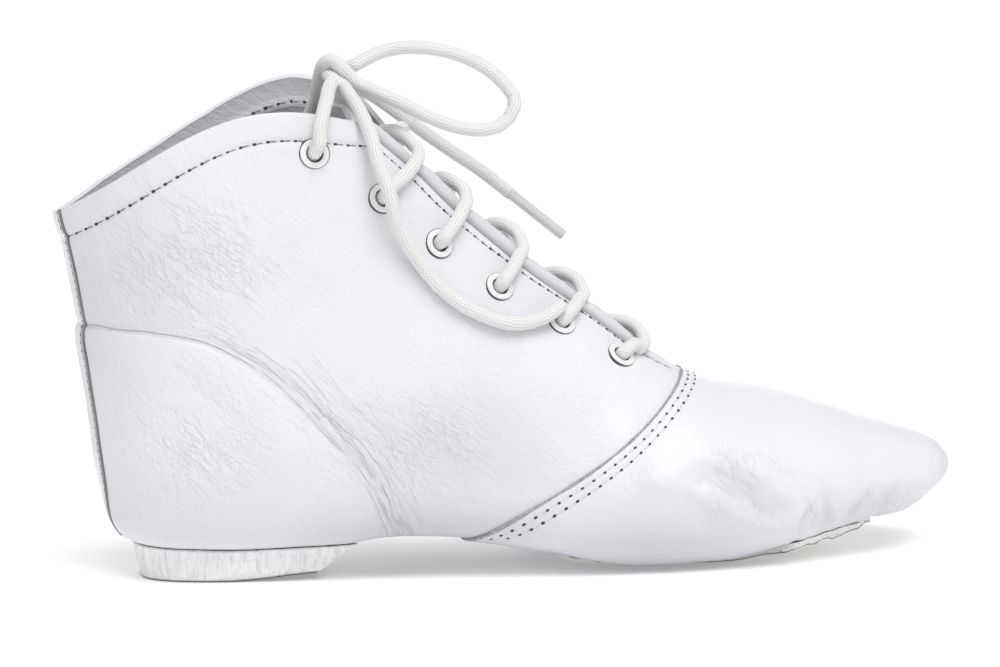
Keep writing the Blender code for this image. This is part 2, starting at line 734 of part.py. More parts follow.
def crossing_route(low, high, side):
    """Lace from an eyelet over its flap edge and the tongue to the other flap's edge."""
    step = high.row - low.row
    lift = LACE_RADIUS + LACE_CLEAR
    eyelet_rim = 5.6 / low.inset
    route = []
    for share, over in ((0.0, EYELET_TOP + 0.3), (eyelet_rim, EYELET_TOP + 0.6), (0.85, 0.6), (1.04, 1.0)):
        point, normal = eyelet_frame(low.row + low.lean * step * share, low.inset * (1.0 - share), side)
        route.append(point + normal * (lift + over))
    lift += 0.3
    point, normal = tongue_point(low.row + 0.5 * step, 0.0)
    route.append(point + normal * lift)
    row = low.row + 0.7 * step
    point, normal = tongue_point(row, -side * (edge_length(row, -side) - LACE_RADIUS - 1.0))
    route.append(point + normal * lift)
    return route


def make_crossings(group, shader):
    """Lace crossings: one joined pair of strands between each two rows of eyelets."""
    for k in range(1, len(EYELETS)):
        pair = [tube(f"lace_crossing_{k}" if side == OUTER else "strand",
                     smooth_route(crossing_route(EYELETS[k], EYELETS[k - 1], side), 9), group, shader)
                for side in (OUTER, INNER)]
        join(pair[0], pair[1:])


def make_knot(group, shader):
    """Knot with the two strands that run up to it from the top eyelets."""
    mesh = bpy.data.meshes.new("lace_knot")
    shape = bmesh.new()
    bmesh.ops.create_uvsphere(shape, u_segments=12, v_segments=8, radius=1.0)
    size = Matrix.Diagonal((*(Vector(KNOT_RADII) * MM), 1.0))
    shape.transform(Matrix.Translation(Vector(KNOT_CENTER) * MM) @ size)
    shape.to_mesh(mesh)
    shape.free()
    knot = add_object("lace_knot", mesh, group, shader)
    strands = [tube("strand", smooth_route(route, 9), group, shader)
               for route in (OUTER_STRAND, INNER_STRAND)]
    join(knot, strands)


def make_tip(name, start, end, group, shader):
    """Hard tip on a lace end."""
    axis = np.array(end) - np.array(start)
    mesh = bpy.data.meshes.new(name)
    shape = bmesh.new()
    bmesh.ops.create_cone(shape, cap_ends=True, segments=10, radius1=TIP_RADIUS * MM,
                          radius2=TIP_RADIUS * MM, depth=float(np.linalg.norm(axis)) * MM)
    shape.to_mesh(mesh)
    shape.free()
    tip = add_object(name, mesh, group, shader)
    tip.matrix_world = placed((np.array(start) + np.array(end)) / 2, axis)
    return tip


def make_lace_ends(group, shader, tip_shader):
    """Bow loop, the end tucked under the lacing and the free end with its hard tip."""
    tube("lace_loop", smooth_route(LOOP_ROUTE, 28), group, shader)
    tube("lace_end_side", smooth_route(SIDE_END_ROUTE, 24), group, shader)
    points = smooth_route(FRONT_END_ROUTE, 14)
    tube("lace_end_front", points, group, shader)
    along = (points[-1] - points[-2]) / np.linalg.norm(points[-1] - points[-2])
    start = points[-1] + along * FIT_GAP
    make_tip("lace_tip", start, start + along * TIP_LENGTH, group, tip_shader)


def main():
    """Build every piece of the boot."""
    for piece in list(bpy.data.objects):
        bpy.data.objects.remove(piece, do_unlink=True)
    boot = collection("dance_boot")
    cutters = collection("cutters")
    leather = material("white_leather", (0.86, 0.85, 0.87), 0.45)
    strip_leather = material("strip_leather", (0.84, 0.83, 0.85), 0.45)
    tongue_leather = material("tongue_leather", (0.80, 0.79, 0.82), 0.5)
    sock = material("insole_fabric", (0.74, 0.72, 0.72), 0.85)
    suede = material("sole_suede", (0.80, 0.77, 0.70), 0.9)
    block = material("heel_white", (0.84, 0.83, 0.84), 0.5)
    paint = material("eyelet_white", (0.85, 0.85, 0.86), 0.35)
    cord = material("lace_cotton", (0.85, 0.83, 0.79), 0.8)
    clear = material("tip_plastic", (0.80, 0.77, 0.72), 0.25)
    outer_tree, inner_tree = face_tree(False), face_tree(True)
    upper = make_upper(boot, cutters, leather)
    apply_modifiers(upper)
    make_back_strip(boot, strip_leather)
    make_tongue(boot, tongue_leather)
    make_insole(boot, sock, inner_tree)
    make_front_sole(boot, suede, outer_tree)
    make_heel(boot, block, outer_tree)
    make_eyelets(boot, paint)
    make_crossings(boot, cord)
    make_knot(boot, cord)
    make_lace_ends(boot, cord, clear)


if __name__ == "__main__":
    main()
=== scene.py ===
"""Looks of a soft white leather dance boot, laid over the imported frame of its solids.

The tables hold millimetres and the scene is in metres. +X runs to the toe, +Y to the wearer's left, which is
the inner side of this right shoe, and +Z up. The floor is Z = 0 and the origin is on it, under the heel.
"""
import math
from collections import namedtuple
from functools import lru_cache

import bmesh
import bpy
import numpy as np
from bpy.props import FloatProperty, FloatVectorProperty, IntProperty, PointerProperty
from mathutils import Matrix, Vector
from mathutils.bvhtree import BVHTree


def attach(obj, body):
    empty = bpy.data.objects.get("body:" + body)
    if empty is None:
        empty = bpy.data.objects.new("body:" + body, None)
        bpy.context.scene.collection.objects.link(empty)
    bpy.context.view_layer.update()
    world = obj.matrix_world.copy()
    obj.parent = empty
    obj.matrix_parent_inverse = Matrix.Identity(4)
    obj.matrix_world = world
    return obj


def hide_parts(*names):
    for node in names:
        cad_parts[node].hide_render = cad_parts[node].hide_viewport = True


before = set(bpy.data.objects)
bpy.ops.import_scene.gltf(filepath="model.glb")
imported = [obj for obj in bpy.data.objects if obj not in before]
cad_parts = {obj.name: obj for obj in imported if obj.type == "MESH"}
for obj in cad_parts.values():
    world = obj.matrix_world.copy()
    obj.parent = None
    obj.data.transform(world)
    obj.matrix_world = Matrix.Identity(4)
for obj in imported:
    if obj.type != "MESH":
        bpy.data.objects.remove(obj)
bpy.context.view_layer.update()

bl_info = {
    "name": "Dance boot",
    "version": (1, 0, 0),
    "blender": (4, 5, 0),
    "location": "View3D > Sidebar > Boot",
    "description": "Dresses the packed dance boot in leather, lacing, stitches and soles",
    "category": "Add Mesh",
}

MM = 0.001
BODY = "root"
OUTER, INNER = -1, 1

# Photograph's frame, in pixels, and the camera that it was taken with, in millimetres and degrees
IMAGE_WIDTH = 1000
CAMERA_PLACE = (-54.97, -839.54, 135.0)
CAMERA_AIM = (78.0, 0.0, 66.0)
CAMERA_FOCAL_PIXELS = 2932.5
CAMERA_ROLL = 0.9
SENSOR_WIDTH = 36.0

# Lamps: where each stands from the boot, its strength and how wide it is, in degrees
Lamp = namedtuple("Lamp", "name place strength width")
LAMPS = (
    Lamp("key", (0.14, -0.52, 1.0), 1.84, 42.0),
    Lamp("back", (0.05, 1.00, 0.20), 1.10, 40.0),
)
FLOOR_HALF = 8.0          # metres
FLOOR_GLOW = 0.17
SEEN_SKY = 1.05           # strength of the sky where the camera sees it

# Sections of the last from the toe to the collar. Each runs from its base, under the foot or up the back, to
# its crown on the instep. belly is the height of the widest place as a share, the powers square off the crown
# and the base, rise lifts the sides and corner_in the inner flap.
Section = namedtuple(
    "Section",
    "name crown_x crown_z base_x base_z mid_y half_width belly crown_power base_power rise corner_in")
SECTIONS = (
    Section("toe tip",      212.2,  27.0, 211.6,  20.0,   7.0,   8.5,  0.50,   2.0,   2.0,   0.0,   0.0),
    Section("toe front",    208.5,  30.2, 205.0,  15.0,   7.0,  17.5,  0.48,   2.0,   2.1,   0.0,   0.0),
    Section("toe box",      200.5,  33.8, 194.5,  10.5,   6.0,  25.5,  0.45,   2.0,   2.4,   0.0,   0.0),
    Section("toes",         186.0,  39.4, 176.0,   7.8,   3.5,  34.0,  0.42,   2.0,   3.0,   0.0,   0.0),
    Section("forefoot",     166.0,  45.0, 153.0,   3.8,   1.0,  40.5,  0.38,   2.0,   3.6,   0.0,   0.0),
    Section("ball",         150.0,  48.4, 126.0,   2.5,  -1.0,  43.0,  0.36,   2.0,   4.0,  -0.5,   0.0),
    Section("vamp",         140.0,  51.0,  96.0,   4.2,  -2.5,  41.0,  0.37,   2.0,   4.0,  -1.8,   0.0),
    Section("vamp seam",    130.0,  55.2,  63.0,   9.8,  -3.5,  36.5,  0.40,   2.0,   4.0,  -3.2,   0.0),
    Section("waist",        117.2,  62.9,  40.0,  11.2,  -3.0,  33.5,  0.42,   2.0,   5.5,  -2.0,   0.0),
    Section("seat front",   103.2,  74.3,  16.0,  10.5,  -2.0,  31.5,  0.44,  2.05,   7.0,  -1.0,   0.0),
    Section("seat",          89.9,  84.6,  -9.0,  10.4,  -1.0,  30.5,  0.45,   2.1,   7.0,   0.0,   1.0),
    Section("heel corner",   79.4,  93.8, -31.0,  13.0,   0.0,  30.0,  0.46,   2.2,   3.6,   0.0,   2.0),
    Section("heel back",     71.1, 100.5, -36.8,  27.0,   0.0,  29.5,  0.47,  2.35,   2.2,   0.0,   3.5),
    Section("counter",       63.1, 107.4, -39.4,  45.0,   0.0,  28.5,  0.48,   2.5,   2.1,   2.0,   5.0),
    Section("counter top",   56.0, 114.4, -42.4,  66.0,   0.0,  27.0,  0.50,   2.6,   2.1,   4.5,   7.5),
    Section("shaft",         47.6, 121.2, -45.4,  86.0,   0.0,  25.5,  0.50,   2.7,   2.1,   8.0,  11.5),
    Section("collar",        40.3, 127.1, -49.5, 104.5,   0.0,  24.5,  0.50,   2.7,   2.1,  12.0,  16.5),
)
SEAM_ROW = 7.0
COLLAR_ROW = 16.0
RISE_SKEW = 1.35
CURVE_STEPS = 160

# How far the inner collar stands over its section, along X
INNER_COLLAR = ((-49.0, 0.0), (-44.0, 0.3), (-36.0, 1.1), (-28.0, 0.4), (-19.0, -0.8), (-5.0, -1.5),
                (5.0, -0.4), (14.0, 1.1), (21.0, 2.2), (28.0, 2.1), (37.0, 1.4))

# Throat, turned flap edges and tongue
THROAT_LOW = 5.6
THROAT_TOP = 11.6
ROLL_OUT = 2.4
STRIP_HALF = 8.0
ROLL_WIDTH = 2.6
TONGUE_SINK = 2.5
TONGUE_DROP = 3.6         # the tongue falls away under the flaps, where the lace passes
TONGUE_CROWN = 0.6
TONGUE_WALL = 1.6
TONGUE_LOW_ROW = 6.45
TONGUE_HALF = 1.9         # half width at the seam, as a multiple of the throat's
TONGUE_TAPER = 0.25
FIT_GAP = 0.3

# Upper edge of the counter seen from the side, and how wide its step is there
CounterEdge = namedtuple("CounterEdge", "x z fade")
COUNTER_EDGE = (
    CounterEdge(-60.0, 74.0, 2.6),
    CounterEdge(-40.0, 71.6, 2.6),
    CounterEdge(-24.0, 69.8, 2.8),
    CounterEdge(-8.0, 66.5, 3.6),
    CounterEdge(8.0, 57.0, 5.0),
    CounterEdge(22.0, 42.0, 6.5),
    CounterEdge(33.0, 27.5, 7.0),
    CounterEdge(42.0, 8.0, 9.0),
)

# Eyelets from the collar down: section row, length from the flap edge along it, and how far the lace has moved
# toward the next eyelet where it leaves the flap, as a share
Eyelet = namedtuple("Eyelet", "row inset lean")
EYELETS = (
    Eyelet(15.05, 26.6, 0.30),
    Eyelet(13.75, 20.1, 0.43),
    Eyelet(12.15, 17.1, 0.23),
    Eyelet(10.40, 15.0, 0.11),
    Eyelet(9.20, 12.8, 0.00),
    Eyelet(8.15, 10.5, -0.21),
)
EYELET_FLANGE = 4.15
EYELET_BORE = 2.5
# Lace out of an eyelet: lengths along the leather and over it
EYELET_EXIT = ((0.2, -4.4), (0.2, -1.0), (0.8, 1.2), (2.9, 2.3))

# Lace routes above the throat. The first point of each leaves the knot.
LOOP_ROUTE = (
    (37.4, 1.8, 144.4), (45.0, 4.0, 148.0), (54.0, 3.0, 149.3), (65.0, 2.0, 147.7), (75.0, 1.0, 143.2),
    (82.0, 0.0, 136.5), (83.2, -1.5, 132.2), (80.0, -2.5, 127.3), (74.0, -3.5, 125.2), (66.5, -4.5, 126.0),
    (58.0, -5.5, 129.0), (49.0, -5.6, 133.6), (37.4, -2.2, 138.9),
)
FRONT_END_ROUTE = (
    (36.6, 3.3, 138.8), (44.4, 8.0, 134.8), (54.8, 12.6, 127.4), (66.5, 16.0, 119.2), (75.5, 17.0, 113.2),
    (84.6, 17.0, 105.9),
)
SIDE_END_ROUTE = (
    (33.4, -5.5, 138.0), (36.8, -14.9, 130.9), (38.8, -22.0, 124.3), (40.4, -27.3, 116.2), (42.8, -30.3, 108.6),
    (45.0, -29.0, 99.6), (50.6, -27.2, 89.7), (57.7, -26.2, 81.0), (66.0, -26.4, 74.9), (75.9, -26.3, 71.0),
    (83.7, -24.4, 71.2), (88.8, -23.0, 73.0), (93.2, -20.6, 76.0),
)
# Strands that make the knot: the inner one goes over the top, the outer one through, and a turn round both
OVER_STRAND = (
    (21.6, 19.7, 123.7), (24.4, 15.5, 128.6), (26.6, 9.6, 134.4), (27.0, 3.6, 140.2), (28.0, -0.8, 144.6),
    (30.4, -2.8, 145.8), (33.6, -2.8, 142.9), (37.4, -2.2, 138.9), (38.7, -2.6, 138.3),
)
THROUGH_STRAND = (
    (24.0, -26.2, 122.5), (24.4, -25.6, 127.0), (25.6, -23.4, 131.6), (27.0, -18.4, 134.6),
    (28.6, -10.6, 138.0), (30.6, -4.2, 139.6), (33.4, 1.0, 138.8), (36.6, 3.3, 138.8), (37.8, 4.0, 138.2),
)
TURN_STRAND = (
    (33.9, -6.7, 137.1), (33.4, -5.5, 138.0), (30.8, -4.6, 139.8), (29.4, -1.0, 141.6), (30.6, 2.6, 142.6),
    (33.6, 3.0, 143.2), (37.4, 1.8, 144.4), (38.6, 2.2, 145.0),
)
LACE_POINTS = 30
KNOT_POINTS = 80
TURN_POINTS = 60
CROSSING_POINTS = 90
TIP_GRIP = 0.6            # how far the tip reaches back over the lace

# Creases seen from the side, as soft troughs with raised banks
Crease = namedtuple("Crease", "width depth route")
QUARTER_CREASES = (
    # slope in front of the counter, with the creases that fan out from it
    Crease(1.1, 0.30, ((-8, 69), (0, 65), (6, 62), (11, 57), (15, 54), (20, 49), (26, 45))),
    Crease(1.0, 0.30, ((-1, 63), (4, 60), (9, 56), (14, 52), (18, 48), (23, 43), (28, 38), (34, 34))),
    Crease(0.9, 0.23, ((11, 59), (17, 54), (23, 51), (28, 48), (34, 44))),
    Crease(0.9, 0.23, ((17, 52), (22, 47), (27, 44), (32, 40), (36, 37))),
    Crease(1.0, 0.29, ((19, 46), (23, 42), (27, 39), (32, 34), (37, 30), (41, 26), (46, 21))),
    Crease(1.0, 0.25, ((23, 40), (27, 36), (31, 32), (35, 27), (39, 23), (43, 20))),
    Crease(0.8, 0.18, ((15, 60), (17, 58), (21, 54.5))),
    Crease(1.1, 0.25, ((22, 53), (28, 50), (35, 45), (43, 41))),
    Crease(1.0, 0.22, ((26, 51), (32, 48), (39, 43), (42, 40), (48, 39))),
    Crease(0.8, 0.16, ((40, 48), (41, 44), (44, 41))),
    Crease(0.9, 0.23, ((32, 37), (37, 34), (42, 29), (46, 25))),
    Crease(0.9, 0.20, ((32, 28), (36, 23), (40, 18), (43, 15))),
    # inside the counter
    Crease(0.8, 0.20, ((-21, 63), (-17, 61), (-12, 58))),
    Crease(0.9, 0.32, ((-17, 37), (-14, 34), (-10, 31), (-7, 29), (-5, 26))),
    Crease(0.8, 0.26, ((-6, 36), (-2, 32), (1, 26))),
    Crease(0.8, 0.26, ((1, 37), (5, 34), (10, 30))),
    Crease(0.8, 0.24, ((-29, 45), (-25, 43), (-19, 41), (-13, 39))),
    Crease(0.8, 0.22, ((-26, 54), (-22, 51), (-15, 48))),
    Crease(0.8, 0.22, ((-14, 56), (-8, 52), (-3, 50))),
    # back of the shaft
    Crease(0.8, 0.20, ((-13, 93), (-9, 89), (-5, 83))),
    Crease(0.8, 0.20, ((-11, 88), (-7, 85), (-3, 80))),
    Crease(0.8, 0.18, ((-17, 81), (-13, 78), (-10, 76))),
    Crease(0.8, 0.16, ((1, 93), (5, 90), (11, 85))),
    Crease(0.8, 0.18, ((-20, 108), (-18, 106), (-12, 103))),
    # cuff
    Crease(0.7, 0.22, ((-25, 116), (-24, 114), (-22, 110))),
    Crease(0.7, 0.18, ((-20, 118), (-18, 116.5), (-16, 114))),
    Crease(0.7, 0.22, ((-39, 106), (-37, 104.5), (-35, 102))),
    Crease(0.7, 0.18, ((-33, 110), (-32, 108), (-31, 105))),
)
VAMP_CREASES = (
    # flexing line: two ridges that part from one place behind the ball, with a hollow between them
    Crease(2.8, -0.40, ((113, 25), (118, 27.5), (126, 31), (137, 36))),
    Crease(2.8, -0.75, ((115, 26), (120, 25), (127, 22.5), (138, 17), (151, 11))),
    Crease(4.8, 0.65, ((124, 28), (131, 28), (138, 26), (145, 22), (151, 17))),
    Crease(3.5, 0.22, ((104, 33), (108, 28), (111, 22), (113, 14))),
    # crumple in the hollow
    Crease(1.0, 0.30, ((129, 30), (134, 28), (141, 25), (146, 21))),
    Crease(0.9, 0.28, ((136, 32), (141, 28), (145, 27), (151, 25))),
    Crease(0.9, 0.30, ((141, 25), (143, 19), (148, 15))),
    Crease(0.9, 0.24, ((131, 34), (137, 30), (140, 27))),
    Crease(0.9, 0.22, ((147, 30), (152, 27), (156, 26))),
    Crease(0.8, 0.26, ((126, 32), (128, 29), (128, 26))),
    Crease(0.8, 0.26, ((132, 32), (133, 28), (135, 25))),
    Crease(0.8, 0.28, ((137, 30), (139, 27), (139, 22))),
    Crease(0.8, 0.26, ((142, 29), (146, 24), (149, 19))),
    Crease(0.8, 0.24, ((148, 26), (149, 22), (152, 17))),
    # pleats that the sole gathers
    Crease(1.0, 0.90, ((161, 18.5), (160, 17), (158, 13), (157, 7))),
    Crease(2.2, 0.65, ((164, 24), (165, 18), (167, 12), (168, 8))),
    Crease(1.4, 0.60, ((181, 19), (175, 15), (172, 10))),
    Crease(1.3, 0.70, ((199, 17), (190, 13), (183, 10))),
    Crease(1.6, 0.45, ((190, 20), (186, 15), (183, 11))),
    Crease(1.0, 0.30, ((205, 27), (204, 25), (202, 22))),
)

# Where fine creases crowd the leather, seen from the side: middle, half sizes and strength
Place = namedtuple("Place", "x z half_x half_z strength")
WORN_PLACES = (
    Place(-10, 90, 30, 20, 0.85),
    Place(28, 42, 22, 22, 0.45),
    Place(52, 40, 22, 14, 0.7),
    Place(-13, 44, 24, 21, 0.70),
    Place(-30, 108, 14, 8, 0.5),
    Place(140, 24, 16, 11, 0.85),
    Place(160, 15, 8, 9, 0.7),
    Place(112, 24, 9, 10, 0.35),
    Place(190, 16, 18, 6, 0.6),
)

# Where painted shade darkens the leather's colour: low on the sides, the vamp and the toe, at the toe's end and
# at the back of the shaft
SHADED_PLACES = (
    Place(48, 10, 42, 16, 0.90),
    Place(60, 32, 34, 22, 0.38),
    Place(115, 5, 45, 14, 0.75),
    Place(185, 8, 26, 10, 0.72),
    Place(212, 21, 8, 8, 0.40),
    Place(-8, 16, 42, 20, 0.40),
    Place(-50, 82, 28, 36, 0.45),
)

# Soft marks along the leather's edges: how deep or high each is, and its half width
Mark = namedtuple("Mark", "depth width")
ROLL_GROOVE = Mark(0.5, 0.55)       # beside the turned flap edge
FLAP_PUFF = Mark(0.35, 0.9)         # between the turned edge and its stitches
FLAP_DRAW = Mark(0.35, 0.6)         # drawn in by the flap's stitches
CUFF_DRAW = Mark(0.45, 0.8)         # drawn in by the cuff's stitches
LACE_PRESS = Mark(1.0, 2.8)         # where the lace goes round the turned edge
EYELET_PULL = Mark(0.35, 6.5)       # round each eyelet
SEAM_DRAW = Mark(0.28, 0.5)         # drawn in by the vamp's stitches
SEAM_PUFF = Mark(0.15, 0.6)         # between their two rows
SEAM_EDGE = Mark(0.25, 0.5)         # along the vamp's cut edge
STRIP_SINK = 0.6                    # how deep the strip lies over the back seam
INNER_SINK = 1.8                    # how much flatter the inner flap lies
CROWN_LIFT = 2.0                    # height of the vamp's crown over its sections
CROWN_DROP = 0.9                    # and how far it is drawn down at the seam
LOW_RIM = 2.0                       # swell of the vamp's lower rim
FLOOR_CLEAR = 0.3                   # least height of the vamp over the floor

# Fine slashes in the leather, seen from the side: angle in degrees, and length as a multiple of width
QUARTER_SLASH = (-38.0, 4.0)
VAMP_SLASH = (-68.0, 2.6)

# Bands of folds outside the counter: strength, length from its edge, width, and the X where each comes and goes
FoldBand = namedtuple("FoldBand", "strength out width start full fade end")
FOLD_BANDS = (
    FoldBand(1.0, 3.4, 3.6, -22.0, 2.0, 46.0, 60.0),
    FoldBand(0.5, 10.0, 6.0, 8.0, 26.0, 46.0, 62.0),
)

# Fullness of the toe over its sections: amount, height and width of each swell, and the X where it comes
Swell = namedtuple("Swell", "amount z width start full")
TOE_SWELLS = (
    Swell(1.1, 19.0, 5.0, 196.0, 208.0),
    Swell(1.2, 11.5, 4.5, 184.0, 198.0),
    Swell(0.9, 32.0, 8.0, 178.0, 200.0),
)
TOE_CAP = 1.7             # how far the toe's end stands before its first section
VAMP_CENTER_BACK = np.array((8.0, 0.0, 0.0))
SEAM_STITCHES = (2.1, 4.3)
SEAM_LOW_Z = 10.0         # stitches end here, and the cut edge a little lower
CUT_EDGE_LOW_Z = 9.5
CUT_EDGE_SINK = 0.45
CUT_EDGE_RADIUS = 0.62
CUT_EDGE_POINTS = 170

# Stitches: half sizes of the dark ovals that paint the shadow in the needle holes, how far past the thread they
# lie and how deep, and how flat the thread is
NEEDLE_HOLE = (0.70, 0.55, 0.20)
HOLE_AHEAD = 0.25
HOLE_SINK = 0.04
THREAD_FLAT = 0.8

# Values on the leather's grids
Quarter = namedtuple("Quarter", "rows lengths points normals to_edge to_collar worn soil line folds fold_place")
Vamp = namedtuple("Vamp", "rows points normals to_seam worn soil")
FAR = 99.0                # length to the collar where none is near

# Bottom pieces
SOLE_BACK_X = 94.0
SOLE_FRONT_X = 188.0
SOLE_HALF_WIDTH = 32.0
SOLE_SQUARE = 2.4         # power that squares off an outline, 2 for a plain oval
UNDER_START = -5.0        # height from which the underside is felt for
SOCK_BACK_X = -29.0
SOCK_FRONT_X = 199.0
SOCK_BACK_ROUND = 20.0
SOCK_FRONT_ROUND = 18.0
SOCK_FALLBACK_HALF = 18.0
HEEL_SQUARE = 2.9
HEEL_BREAST_TOP_X = 32.5
HEEL_BREAST_LOW_X = 21.5
HEEL_BACK_TOP_X = -29.8
HEEL_BACK_LOW_X = -27.5
HEEL_TOP_HALF = 25.5
HEEL_LOW_HALF = 23.0
HEEL_SHIFT_Y = -1.2

# Back strip
STRIP_WALL = 1.0
STRIP_LOW_ROW = 11.05
STRIP_SEWN = 0.1          # stitches lie this share of the columns in from each edge

# Mesh densities: rows by columns, and the length under which two vertices are one, in metres
SAME_SPOT = 0.000002
STRIP_ROWS = 150
STRIP_COLUMNS = 32
QUARTER_ROWS = 230
NEAR_COLLAR_ROWS = 60
FLAP_COLUMNS = 14
FLAP_BAND = 5.0
SIDE_COLUMNS = 138
VAMP_ROWS = 150
TIP_ROWS = 8
VAMP_SIDE_COLUMNS = 120
BRAID_STEP = 0.34
BRAID_COLUMNS = 36
EDGE_COLUMNS = 10
TONGUE_ROWS = 110
TONGUE_COLUMNS = 45
RIM_RINGS = 6
BOTTOM_RINGS = 8
SOCK_ROWS = 90
SOCK_COLUMNS = 31


class BootLeather(bpy.types.PropertyGroup):
    """Leather of the upper."""
    wall: FloatProperty(name="Wall", description="Thickness of the quarters with their lining",
                        default=1.6 * MM, unit="LENGTH")
    vamp_wall: FloatProperty(name="Vamp wall", description="Thickness of the vamp",
                             default=1.0 * MM, unit="LENGTH")
    vamp_step: FloatProperty(name="Vamp step", description="Height of the vamp's cut edge over the quarters",
                             default=1.1 * MM, unit="LENGTH")
    cuff_width: FloatProperty(name="Cuff width", description="Turned-over band below the collar",
                              default=8.0 * MM, unit="LENGTH")
    cuff_puff: FloatProperty(name="Cuff puff", description="How far the turned-over band stands out",
                             default=0.4 * MM, unit="LENGTH")
    counter_swell: FloatProperty(name="Counter swell", description="Heel stiffener showing through",
                                 default=1.5 * MM, unit="LENGTH")
    crease: FloatProperty(name="Creases", description="Depth of the creases as a share of the table's",
                          default=1.0, min=0.0, max=2.0, subtype="FACTOR")
    color: FloatVectorProperty(name="Leather", description="Colour of the leather",
                               default=(0.81, 0.803, 0.845), subtype="COLOR", min=0.0, max=1.0)
    lining_color: FloatVectorProperty(name="Lining", description="Colour of the fabric lining",
                                      default=(0.39, 0.385, 0.405), subtype="COLOR", min=0.0, max=1.0)
    # grey: painted shade on the cut edges, which face back
    cut_edge_shade_color: FloatVectorProperty(name="Cut edge", description="Colour of cut leather edges",
                                    default=(0.42, 0.415, 0.43), subtype="COLOR", min=0.0, max=1.0)


class BootSewing(bpy.types.PropertyGroup):
    """Stitches."""
    collar_pitch: FloatProperty(name="Collar pitch", description="Length from stitch to stitch at the collar",
                                default=3.8 * MM, unit="LENGTH")
    flap_pitch: FloatProperty(name="Flap pitch", description="Length from stitch to stitch along the flaps",
                              default=2.9 * MM, unit="LENGTH")
    seam_pitch: FloatProperty(name="Seam pitch", description="Length from stitch to stitch on the vamp seam",
                              default=3.8 * MM, unit="LENGTH")
    strip_pitch: FloatProperty(name="Strip pitch", description="Length from stitch to stitch on the back strip",
                               default=2.2 * MM, unit="LENGTH")
    thread: FloatProperty(name="Thread", description="Diameter of the thread",
                          default=0.62 * MM, unit="LENGTH")
    # the collar thread's dark grey is painted shade of the groove that it lies sunk in
    color: FloatVectorProperty(name="Thread", description="Colour of the soiled collar thread",
                               default=(0.24, 0.24, 0.255), subtype="COLOR", min=0.0, max=1.0)
    clean_color: FloatVectorProperty(name="Clean thread", description="Colour of the thread on the vamp",
                                     default=(0.72, 0.715, 0.74), subtype="COLOR", min=0.0, max=1.0)
    # near black: painted shadow inside the needle holes
    hole_shadow_color: FloatVectorProperty(name="Needle holes", description="Colour inside the needle holes",
                                    default=(0.05, 0.05, 0.055), subtype="COLOR", min=0.0, max=1.0)


class BootLace(bpy.types.PropertyGroup):
    """Round braided lace and its eyelets."""
    diameter: FloatProperty(name="Diameter", description="Thickness of the lace",
                            default=4.0 * MM, unit="LENGTH")
    carriers: IntProperty(name="Carriers", description="Yarns round the braid in each direction",
                          default=12, min=4, max=16)
    rise: FloatProperty(name="Braid length", description="Length of the lace for one yarn crossing",
                        default=1.05 * MM, unit="LENGTH")
    tip_diameter: FloatProperty(name="Tip diameter", description="Thickness of the hard tip",
                                default=3.3 * MM, unit="LENGTH")
    tip_length: FloatProperty(name="Tip length", description="Length of the hard tip",
                              default=20.0 * MM, unit="LENGTH")
    color: FloatVectorProperty(name="Lace", description="Colour of the cotton",
                               default=(0.90, 0.897, 0.893), subtype="COLOR", min=0.0, max=1.0)
    tip_color: FloatVectorProperty(name="Tip", description="Colour of the clear tip over the cotton",
                                   default=(0.70, 0.69, 0.69), subtype="COLOR", min=0.0, max=1.0)
    eyelet_color: FloatVectorProperty(name="Eyelet", description="Colour of the eyelets' paint",
                                      default=(0.86, 0.86, 0.87), subtype="COLOR", min=0.0, max=1.0)


class BootBottom(bpy.types.PropertyGroup):
    """Soles, heel and sock."""
    sole_thickness: FloatProperty(name="Sole", description="Thickness of the front sole",
                                  default=2.4 * MM, unit="LENGTH")
    insole_thickness: FloatProperty(name="Sock", description="Thickness of the sock inside",
                                    default=1.5 * MM, unit="LENGTH")
    sole_color: FloatVectorProperty(name="Suede", description="Colour of the front sole",
                                    default=(0.93, 0.915, 0.885), subtype="COLOR", min=0.0, max=1.0)
    heel_color: FloatVectorProperty(name="Heel", description="Colour of the painted heel",
                                    default=(0.91, 0.905, 0.92), subtype="COLOR", min=0.0, max=1.0)
    insole_color: FloatVectorProperty(name="Sock", description="Colour of the sock",
                                      default=(0.66, 0.65, 0.65), subtype="COLOR", min=0.0, max=1.0)


class BootStage(bpy.types.PropertyGroup):
    """Floor and light."""
    floor_color: FloatVectorProperty(name="Floor", description="Colour of the floor",
                                     default=(0.94, 0.94, 0.94), subtype="COLOR", min=0.0, max=1.0)
    sky: FloatProperty(name="Sky", description="Strength of the light from all round", default=0.5)
    lamps: FloatProperty(name="Lamps", description="Strength of the lamps as a share of the table's",
                         default=1.0)


class BootSettings(bpy.types.PropertyGroup):
    """All the boot's settings."""
    leather: PointerProperty(type=BootLeather)
    sewing: PointerProperty(type=BootSewing)
    lace: PointerProperty(type=BootLace)
    bottom: PointerProperty(type=BootBottom)
    stage: PointerProperty(type=BootStage)


def settings():
    """The boot's settings in this scene."""
    return bpy.context.scene.dance_boot


def smooth(low, high, value):
    """Rise from 0 to 1 between two edges without a kink."""
    share = np.clip((np.asarray(value, dtype=float) - low) / (high - low), 0.0, 1.0)
    return share * share * (3.0 - 2.0 * share)


def bell(value, width):
    """Bump of height 1 round zero."""
    return np.exp(-(np.asarray(value, dtype=float) / width) ** 2)


def unit(vectors):
    """Vectors at length 1."""
    vectors = np.asarray(vectors, dtype=float)
    return vectors / np.maximum(np.linalg.norm(vectors, axis=-1, keepdims=True), 1e-9)


@lru_cache(maxsize=None)
def noise_lattice(seed):
    """Random values on a lattice that repeats."""
    return np.random.default_rng(seed).uniform(-1.0, 1.0, (32, 32, 32))


